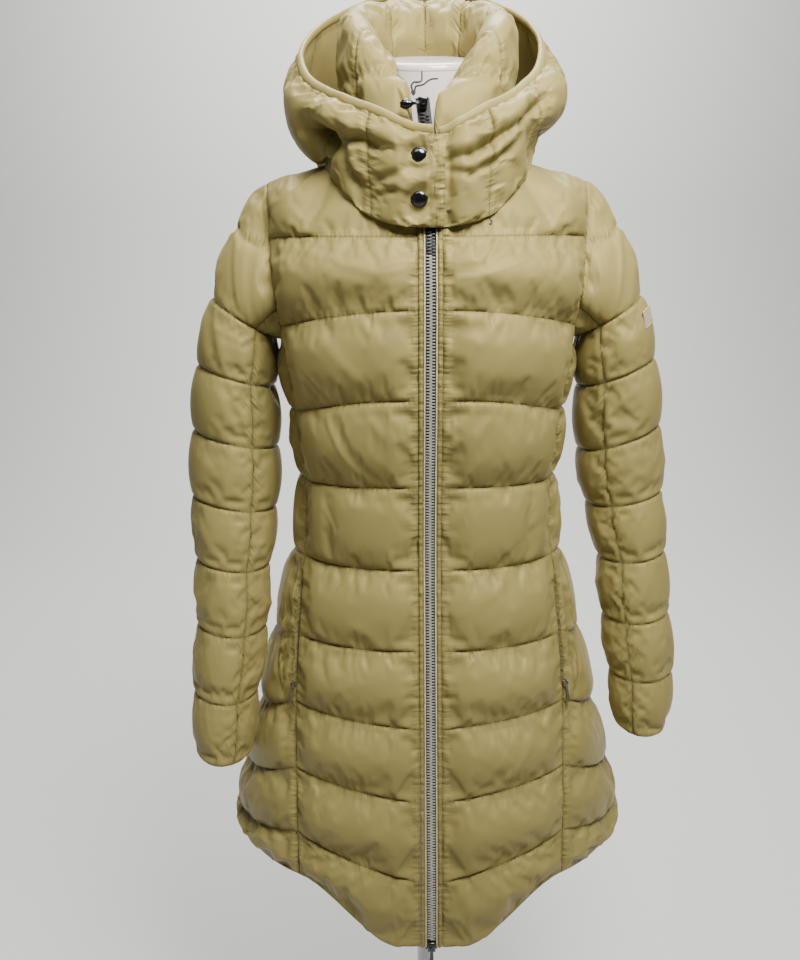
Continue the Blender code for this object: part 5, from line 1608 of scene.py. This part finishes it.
class COAT_OT_zip_teeth(bpy.types.Operator):
    """Makes the moulded teeth of the centre-front zip, one tooth copied along both edges"""

    bl_idname = "coat.zip_teeth"
    bl_label = "Zip teeth"

    def execute(self, context):
        pitch, half = trim().tooth_pitch, TEETH_HALF
        tooth = self.one_tooth(half, pitch)
        low, high = ZIP_BOTTOM + SLIDER[2] + 0.002, ZIP_TOP - SLIDER[2] - 0.002
        places = np.arange(low, high, pitch / 2)
        groups = {"grey": [], "black": []}
        for k, z in enumerate(places):
            groups["black" if z > BLACK_TEETH_FROM else "grey"].append((k % 2, z))
        points = np.array([v.co for v in tooth.data.vertices])
        polygons = [list(p.vertices) for p in tooth.data.polygons]
        bpy.data.objects.remove(tooth)
        for shade, entries in groups.items():
            everything, faces = [], []
            for turned, z in entries:
                place = frame_on(front_line(np.array([z]))[0], front_normal(np.array([z]))[0])
                flip = Matrix.Rotation(math.pi, 4, "Y") if turned else Matrix.Identity(4)
                start = len(everything)
                everything += [place @ (flip @ Vector(p)) for p in points]
                faces += [[start + i for i in polygon] for polygon in polygons]
            obj = new_object(f"zip_teeth_{shade}", everything, faces)
            select_only(obj)
            bpy.ops.object.shade_smooth_by_angle(angle=math.radians(40))
            look = "moulded acetal teeth" if shade == "grey" else "black acetal teeth"
            hand_over(obj, "zip_teeth", look)
        return {"FINISHED"}

    @staticmethod
    def one_tooth(half, pitch):
        """A tooth of the right-hand edge: a foot on the tape and a rounded head past the middle."""
        obj = box_piece((half + 0.0008, 0.0021, pitch * 0.42), ((half - 0.0008) / 2, -0.0019, 0))
        edit_faces(obj)
        pick_faces(obj, lambda centre, normal: normal.x < -0.9)
        extrude(-0.0006, 0, 0)
        bpy.ops.transform.resize(value=(1, 0.75, 1.15))
        pick_faces(obj, lambda centre, normal: normal.x > 0.9)
        bpy.ops.transform.resize(value=(1, 0.55, 0.95))
        close_edit(obj)
        soft_edges(obj, 0.00022, 1)
        return obj


class COAT_OT_sliders(bpy.types.Operator):
    """Makes the four sliders, each a wedge with a crown that holds its pull tab"""

    bl_idname = "coat.sliders"
    bl_label = "Sliders"

    def execute(self, context):
        for seat in slider_seats():
            across, thick, length = seat["size"]
            body = box_piece((across, thick, length), (0, -thick / 2, 0))
            edit_faces(body)
            wide = seat["wide_end"]
            pick_faces(body, lambda centre, normal: normal.z * wide < -0.9)
            bpy.ops.transform.resize(value=(0.72, 0.8, 1))
            pick_faces(body, lambda centre, normal: normal.y < -0.9)
            bpy.ops.mesh.inset(thickness=across * 0.16, depth=0)
            bpy.ops.transform.translate(value=(0, -thick * 0.12, 0))
            close_edit(body)
            soft_edges(body, across * 0.09, 3)
            pieces = [body]
            tongue = pull_tongue(seat["size"])
            y = -thick - LUG_REACH / 2 + 0.0004
            for side in (-1, 1):
                x = side * (tongue / 2 + HINGE_GAP + LUG / 2)
                lug = box_piece((LUG, LUG_REACH + 0.0010, LUG_REACH * 1.1), (x, y, 0))
                lug.data.transform(Matrix.Rotation(seat["lean"], 4, "Y"))
                soft_edges(lug, 0.0003, 2)
                pieces.append(lug)
            whole = put(join_pieces(pieces), seat["slider"].replace("slider", "zip_slider"), seat["frame"])
            hand_over(whole, seat["slider"], seat["look"])
        return {"FINISHED"}


class COAT_OT_pull_tabs(bpy.types.Operator):
    """Makes the pull tabs, each hinged between the lugs of its slider"""

    bl_idname = "coat.pull_tabs"
    bl_label = "Pull tabs"

    def execute(self, context):
        for seat in slider_seats():
            width, thickness, long, neck = seat["pull_size"]
            tongue = pull_tongue(seat["size"])
            flat = width * (0.55 if seat["bead"] else 1)
            tab = box_piece((flat, thickness, long - neck), (0, 0, -(long + neck) / 2))
            edit_faces(tab)
            pick_faces(tab, lambda centre, normal: normal.z > 0.9)
            bpy.ops.transform.resize(value=(tongue / flat * 1.15, 1, 1))
            extrude(0, 0, neck)
            bpy.ops.transform.resize(value=(0.87, 1, 1))
            extrude(0, 0, 0.0007)
            pick_faces(tab, lambda centre, normal: abs(normal.y) > 0.9 and centre.z < -neck)
            bpy.ops.mesh.inset(thickness=width * 0.2, depth=-thickness * 0.16)
            close_edit(tab)
            soft_edges(tab, min(width, 0.006) * (0.10 if seat["bead"] == 0 else 0.14), 3)
            pieces = [tab]
            if seat["bead"]:
                pieces.append(self.bead(seat["bead"], long, neck))
            face = Matrix.Translation((0, -seat["size"][1] - LUG_REACH / 2, 0))
            lean = Matrix.Rotation(seat["lean"], 4, "Y")
            name = seat["pull"].replace("pull", "zip_pull")
            whole = put(join_pieces(pieces), name, seat["frame"] @ face @ lean)
            hand_over(whole, seat["pull"], seat["look"], body=seat["body"])
        return {"FINISHED"}

    @staticmethod
    def bead(radius, long, neck):
        """A glossy drop moulded over the tab."""
        bpy.ops.object.select_all(action="DESELECT")
        middle = -(long + neck) / 2
        bpy.ops.mesh.primitive_uv_sphere_add(segments=32, ring_count=18, radius=1, location=(0, 0, middle))
        drop = bpy.context.object
        drop.scale = (radius, radius * 0.8, (long - neck) / 2)
        bpy.ops.object.transform_apply(location=True, rotation=False, scale=True)
        edit_faces(drop)
        pick_faces(drop, lambda centre, normal: centre.z > middle + (long - neck) * 0.2)
        bpy.ops.transform.resize(value=(0.82, 0.85, 1.0))
        close_edit(drop, 60)
        return drop


def pull_tongue(size):
    """Width of a pull tab's tongue between the lugs of a slider."""
    return min(size[0] - 2 * (LUG + HINGE_GAP), 0.0030) - 0.0002


def slider_seats():
    """Where each slider sits, with the sizes of it and its pull tab."""
    seats = []
    black = {"size": SLIDER, "look": "enamelled zinc", "slot": "black_metal"}
    grey = {"size": POCKET_SLIDER, "look": "brushed nickel plate", "slot": "grey_metal"}
    ends = (("top", ZIP_TOP, -1, TOP_PULL, TOP_LEAN, TOP_BEAD), ("bottom", ZIP_BOTTOM, 1, BOTTOM_PULL, 0, 0))
    for name, end, inward, pull, lean, bead in ends:
        z = np.array([end + inward * SLIDER[2] / 2])
        normal = front_normal(z)[0]
        place = frame_on(front_line(z)[0] + normal * TEETH_BACK, normal)
        names = {"slider": f"slider_{name}", "pull": f"pull_{name}", "body": f"{name}_pull"}
        shape = {"pull_size": pull, "lean": lean, "bead": bead, "wide_end": -inward, "frame": place}
        seats.append(names | black | shape)
    for side, mirror in SIDES:
        z = np.array([POCKET_BOTTOM + 0.006])
        x = BODY("edge", z)
        flip = np.array([mirror, 1, 1])
        normal = body_normal(x, z, "front")[0] * flip
        place = frame_on(body_point(x, z, "front")[0] * flip + normal * POCKET_SLIDER_LIFT, normal)
        names = {
            "slider": f"pocket_slider_{side}",
            "pull": f"pocket_pull_{side}",
            "body": f"{side}_pocket_pull",
        }
        shape = {"pull_size": POCKET_PULL, "lean": 0, "bead": 0, "wide_end": 1, "frame": place}
        seats.append(names | grey | shape)
    return seats


class COAT_OT_zip_tapes(bpy.types.Operator):
    """Gives the tapes of the three zips their woven finish"""

    bl_idname = "coat.zip_tapes"
    bl_label = "Zip tapes"

    def execute(self, context):
        for node in ("zip_tape", "pocket_zip_left", "pocket_zip_right"):
            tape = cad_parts[node].data.materials
            tape.clear()
            tape.append(finish("woven polyester tape"))
        return {"FINISHED"}


class COAT_OT_snap_caps(bpy.types.Operator):
    """Makes the two domed snap caps on the hood's overlap"""

    bl_idname = "coat.snap_caps"
    bl_label = "Snap caps"

    def execute(self, context):
        for name, z in zip(("upper", "lower"), SNAP_Z):
            share = np.array([np.interp(z, (HOOD("base_z", 0), HOOD("brim_z", 0)), (0, 1))])
            turn = np.array([math.asin(SNAP_X / HOOD("out_r", 0))])
            seat, normal = hood_point(turn, share)[0], hood_normal(turn, share)[0]
            cap = cylinder(SNAP_RADIUS, 0.0011)
            edit_faces(cap)
            pick_faces(cap, lambda centre, normal: normal.z > 0.9)
            bpy.ops.mesh.inset(thickness=0.0011, depth=0)
            for rise, shrink in SNAP_DOME:
                extrude(0, 0, rise)
                bpy.ops.transform.resize(value=(shrink, shrink, 1))
            close_edit(cap, 40)
            soft_edges(cap, 0.0003, 2)
            stand = Matrix.Rotation(math.pi / 2, 4, "X")
            put(cap, f"snap_dome_{name}", frame_on(seat + normal * SNAP_LIFT, normal) @ stand)
            hand_over(cap, f"snap_cap_{name}", "enamelled zinc")
        return {"FINISHED"}


class COAT_OT_sleeve_patch(bpy.types.Operator):
    """Makes the bare patch sewn on the right sleeve"""

    bl_idname = "coat.sleeve_patch"
    bl_label = "Sleeve patch"

    def execute(self, context):
        count = PATCH_POINTS
        turn = np.radians(np.linspace(*PATCH_TURNS, count))
        turn, along = np.meshgrid(turn, 1 + np.linspace(*PATCH_ALONG, count))
        points = sleeve_point(SLEEVES["right"], turn, along)
        normals = sleeve_normal(SLEEVES["right"], turn, along)
        edge = np.abs(np.linspace(-1, 1, count)) ** 14
        border = np.maximum(edge[:, None], edge[None, :])
        weave = 0.00008 * np.add.outer(np.arange(count) % 2, np.arange(count) % 2)
        height = PATCH_LIFT + 0.0007 * border + weave * (1 - border)
        outer = points + normals * height[..., None]
        obj = new_object("sewn_patch", outer, numbered(points, normals)[1])
        solid = obj.modifiers.new("thickness", "SOLIDIFY")
        solid.thickness, solid.offset = PATCH_THICKNESS, -1
        select_only(obj)
        bpy.ops.object.modifier_apply(modifier=solid.name)
        obj.data.shade_smooth()
        hand_over(obj, "sleeve_patch", "woven polyester patch")
        return {"FINISHED"}


class COAT_OT_hood_loop(bpy.types.Operator):
    """Makes the small cord loop that hangs out from under the hood's band"""

    bl_idname = "coat.hood_loop"
    bl_label = "Hood loop"

    def execute(self, context):
        z, x = np.array([LOOP_Z]), np.array([LOOP_X])
        normal = body_normal(x, z, "front")[0]
        seat = body_point(x, z, "front")[0] + normal * (LOOP_CORD + 2 * GAP)
        bpy.ops.object.select_all(action="DESELECT")
        bpy.ops.mesh.primitive_torus_add(
            major_segments=40, minor_segments=12, major_radius=LOOP_RADIUS, minor_radius=LOOP_CORD * 0.9
        )
        loop = bpy.context.object
        edit_faces(loop)
        pick_faces(loop, lambda centre, normal: centre.y > LOOP_RADIUS * 0.3)
        bpy.ops.transform.resize(value=(0.62, 1.0, 1.0))
        close_edit(loop, 80)
        put(loop, "cord_loop", frame_on(seat, normal) @ Matrix.Rotation(math.pi / 2, 4, "X"))
        hand_over(loop, "hood_loop", "braided polyester cord")
        return {"FINISHED"}


class COAT_OT_pull_cord(bpy.types.Operator):
    """Makes the two free ends of the cord and the knot that ties them to the top slider"""

    bl_idname = "coat.pull_cord"
    bl_label = "Pull cord"

    def execute(self, context):
        knot = self.knot()
        for number, (node, route) in enumerate(CORD_ROUTES.items(), 1):
            share = np.linspace(0, 1, CORD_POINTS * 2)
            whole_route = [KNOT_PLACE, *route]
            path = spline([np.tile(point, (len(share), 1)) for point in whole_route], share)
            obj = tube_of(f"cord_end_{number}", rings_along(path, CORD_DIAMETER / 2, 10))
            hand_over(obj, node, "braided polyester cord")
        return {"FINISHED"}

    @staticmethod
    def knot():
        """A small overhand knot: one turn of cord passed through itself."""
        t = np.linspace(0, 2 * math.pi, 60, endpoint=False)
        size = KNOT_RADIUS * 0.27
        x, z = np.sin(t) + 2 * np.sin(2 * t), np.cos(t) - 2 * np.cos(2 * t)
        path = np.stack([x * size, -np.sin(3 * t) * size * 1.4, z * size], -1) + KNOT_PLACE
        rings = rings_along(path, CORD_DIAMETER / 2, 8, closed=True)
        index = np.arange(rings.shape[0] * 8).reshape(-1, 8)
        index = np.concatenate([index, index[:1]])
        index = np.concatenate([index, index[:, :1]], axis=1)
        obj = new_object("cord_knot", rings, [tuple(f) for f in quads(index)])
        point_out(obj)
        obj.data.shade_smooth()
        return hand_over(obj, "pull_cord_knot", "braided polyester cord")


# Dress form


class COAT_OT_dress_form(bpy.types.Operator):
    """Makes the smooth limbless torso, the cap of its neck, the pole and the base"""

    bl_idname = "coat.dress_form"
    bl_label = "Dress form"

    def execute(self, context):
        self.torso()
        self.neck_cap()
        self.pole()
        self.base()
        return {"FINISHED"}

    @staticmethod
    def section(z, scale, sides=64, power=2.2):
        """A level section of the form, a little squarer than an oval."""
        half_width, front, back = (FORM(side, z) * scale for side in ("half_width", "front", "back"))
        turn = np.arange(sides) * 2 * math.pi / sides
        x = half_width * np.sign(np.sin(turn)) * np.abs(np.sin(turn)) ** (2 / power)
        reach = np.where(np.cos(turn) > 0, -front, back)
        return np.stack([x, reach * np.abs(np.cos(turn)) ** (2 / power), z + 0 * x], -1)

    def torso(self):
        rings = [self.section(FORM_BOTTOM, s) for s in (0.86, 0.905, 0.93)]
        rings[1][:, 2] += 0.0006
        rings[2][:, 2] += 0.003
        for z in (*np.arange(0.807, 1.28, 0.016), *np.arange(1.285, FORM_TOP, 0.008), FORM_TOP):
            ring = self.section(z, 1.0)
            ring[:, 2] += NECK_SLOPE * ring[:, 1] * smoothstep(1.40, FORM_TOP, z)
            rings.append(ring)
        obj = tube_of("moulded_torso", np.array(rings))
        self.hand_over_form(obj, "form_torso")

    def neck_cap(self):
        rings = []
        for scale, rise in NECK_CAP:
            ring = self.section(FORM_TOP, scale)
            ring[:, 2] += NECK_SLOPE * ring[:, 1] + rise
            rings.append(ring)
        self.hand_over_form(tube_of("neck_cap_disc", np.array(rings)), "form_neck_cap")

    @staticmethod
    def hand_over_form(obj, node):
        select_only(obj)
        bpy.ops.object.shade_smooth_by_angle(angle=math.radians(50))
        hand_over(obj, node, "moulded gloss fibreglass")

    @staticmethod
    def pole():
        """The pole, with the socket that holds it on the base."""
        low, high = BASE_THICKNESS + GAP, FORM_BOTTOM - GAP
        pole = cylinder(POLE_RADIUS, high - low, (low + high) / 2)
        soft_edges(pole, 0.0006, 2)
        socket = cylinder(POLE_RADIUS * 1.25, 0.02, low + 0.01)
        soft_edges(socket, 0.0016, 3)
        whole = put(join_pieces([pole, socket]), "steel_pole", Matrix.Identity(4))
        close_edit(whole, 40)
        hand_over(whole, "form_pole", "brushed stainless steel")

    @staticmethod
    def base():
        """The round base plate, with a rolled rim."""
        plate = cylinder(BASE_RADIUS, BASE_THICKNESS, BASE_THICKNESS / 2, vertices=128)
        edit_faces(plate)
        pick_faces(plate, lambda centre, normal: normal.z > 0.9)
        bpy.ops.mesh.inset(thickness=0.011, depth=0)
        bpy.ops.mesh.inset(thickness=0.002, depth=-0.0012)
        close_edit(plate, 30)
        soft_edges(plate, 0.0028, 4)
        put(plate, "base_plate", Matrix.Identity(4))
        hand_over(plate, "form_base", "powder-coated steel")


# Stage

CAMERA_PLACE = (-0.034, -0.944, 1.219)
CAMERA_TILT, CAMERA_ROLL = math.radians(76.4), math.radians(-0.42)
# Each light's name, its place, what it shines on, its width and the setting with its power
LIGHTS = (
    ("key light", (0.35, -0.8, 2.2), (0.0, -0.05, 1.2), 0.7, "key"),
    ("fill light", (-2.2, -1.9, 1.3), (0.0, 0.0, 1.0), 2.2, "fill"),
    ("top light", (-0.3, -0.65, 2.25), (0.0, 0.0, 1.3), 0.7, "top"),
    ("backdrop light", (0.0, 1.4, 4.2), (0.0, 4.0, 0.6), 2.0, "back"),
)


class COAT_OT_camera(bpy.types.Operator):
    """Sets the camera before the coat, a little above its middle"""

    bl_idname = "coat.camera"
    bl_label = "Camera"

    def execute(self, context):
        settings = context.scene.coat_studio
        data = bpy.data.cameras.new("camera")
        data.lens = settings.lens
        camera = bpy.data.objects.new("camera", data)
        context.scene.collection.objects.link(camera)
        camera.location = CAMERA_PLACE
        turn = Matrix.Rotation(CAMERA_TILT, 3, "X") @ Matrix.Rotation(CAMERA_ROLL, 3, "Z")
        camera.rotation_euler = turn.to_euler()
        context.scene.camera = camera
        return {"FINISHED"}


class COAT_OT_studio(bpy.types.Operator):
    """Lays a plain pale floor that curves up far behind the coat, and sets up soft lights"""

    bl_idname = "coat.studio"
    bl_label = "Studio"

    def execute(self, context):
        settings = context.scene.coat_studio
        bend = np.radians(np.linspace(0, 90, 19))
        deep = np.concatenate([[-9], 2.4 + 1.8 * np.sin(bend), [4.2]])
        high = np.concatenate([[0], 1.8 * (1 - np.cos(bend)), [7]]) - 0.0005
        sweep = [[(x, y, z) for x in (-10, 10)] for y, z in zip(deep, high)]
        floor = new_object("studio_floor", sweep, quads(np.arange(2 * len(deep)).reshape(-1, 2))[:, ::-1])
        floor.data.shade_smooth()
        made, tree, shader = blank("matte studio floor")
        connect(tree, shader, {"Base Color": settings.floor, "Roughness": 0.85})
        floor.data.materials.append(made)
        world = bpy.data.worlds.new("studio")
        world.use_nodes = True
        surround = world.node_tree.nodes["Background"]
        surround.inputs["Color"].default_value = settings.sky
        surround.inputs["Strength"].default_value = settings.surround
        context.scene.world = world
        for name, place, aim, size, power in LIGHTS:
            data = bpy.data.lights.new(name, "AREA")
            data.shape, data.size, data.energy = "DISK", size, getattr(settings, power)
            light = bpy.data.objects.new(name, data)
            context.scene.collection.objects.link(light)
            light.location = place
            light.rotation_euler = (Vector(aim) - Vector(place)).to_track_quat("-Z", "Y").to_euler()
        return {"FINISHED"}


# Panel and registration

PIECES = (
    COAT_OT_camera,
    COAT_OT_pull_cord,
    COAT_OT_dress_form,
    COAT_OT_front_panels,
    COAT_OT_side_panels,
    COAT_OT_back_panel,
    COAT_OT_sleeves,
    COAT_OT_hood,
    COAT_OT_collar,
    COAT_OT_zip_guards,
    COAT_OT_zip_tapes,
    COAT_OT_zip_teeth,
    COAT_OT_sliders,
    COAT_OT_pull_tabs,
    COAT_OT_snap_caps,
    COAT_OT_sleeve_patch,
    COAT_OT_hood_loop,
    COAT_OT_studio,
)
SETTINGS = {
    "coat_quilt": QuiltSettings,
    "coat_trim": TrimSettings,
    "coat_form": FormSettings,
    "coat_studio": StudioSettings,
}


class VIEW3D_PT_coat(bpy.types.Panel):
    """Lists the makers of the coat's pieces and the settings that they read"""

    bl_label = "Long puffer coat"
    bl_space_type = "VIEW_3D"
    bl_region_type = "UI"
    bl_category = "Coat"

    def draw(self, context):
        for name, group in SETTINGS.items():
            box = self.layout.box()
            box.label(text=name.replace("coat_", "").capitalize())
            for key in group.__annotations__:
                box.prop(getattr(context.scene, name), key)
        for maker in PIECES:
            self.layout.operator(maker.bl_idname)


def register():
    for kind in (*SETTINGS.values(), *PIECES, VIEW3D_PT_coat):
        bpy.utils.register_class(kind)
    for name, group in SETTINGS.items():
        setattr(bpy.types.Scene, name, PointerProperty(type=group))


def unregister():
    for name in SETTINGS:
        delattr(bpy.types.Scene, name)
    for kind in (VIEW3D_PT_coat, *PIECES[::-1], *SETTINGS.values()):
        bpy.utils.unregister_class(kind)


def main():
    register()
    for maker in PIECES:
        group, name = maker.bl_idname.split(".")
        if getattr(getattr(bpy.ops, group), name)() != {"FINISHED"}:
            raise RuntimeError(f"{maker.bl_label} wasn't finished")


if __name__ == "__main__":
    main()
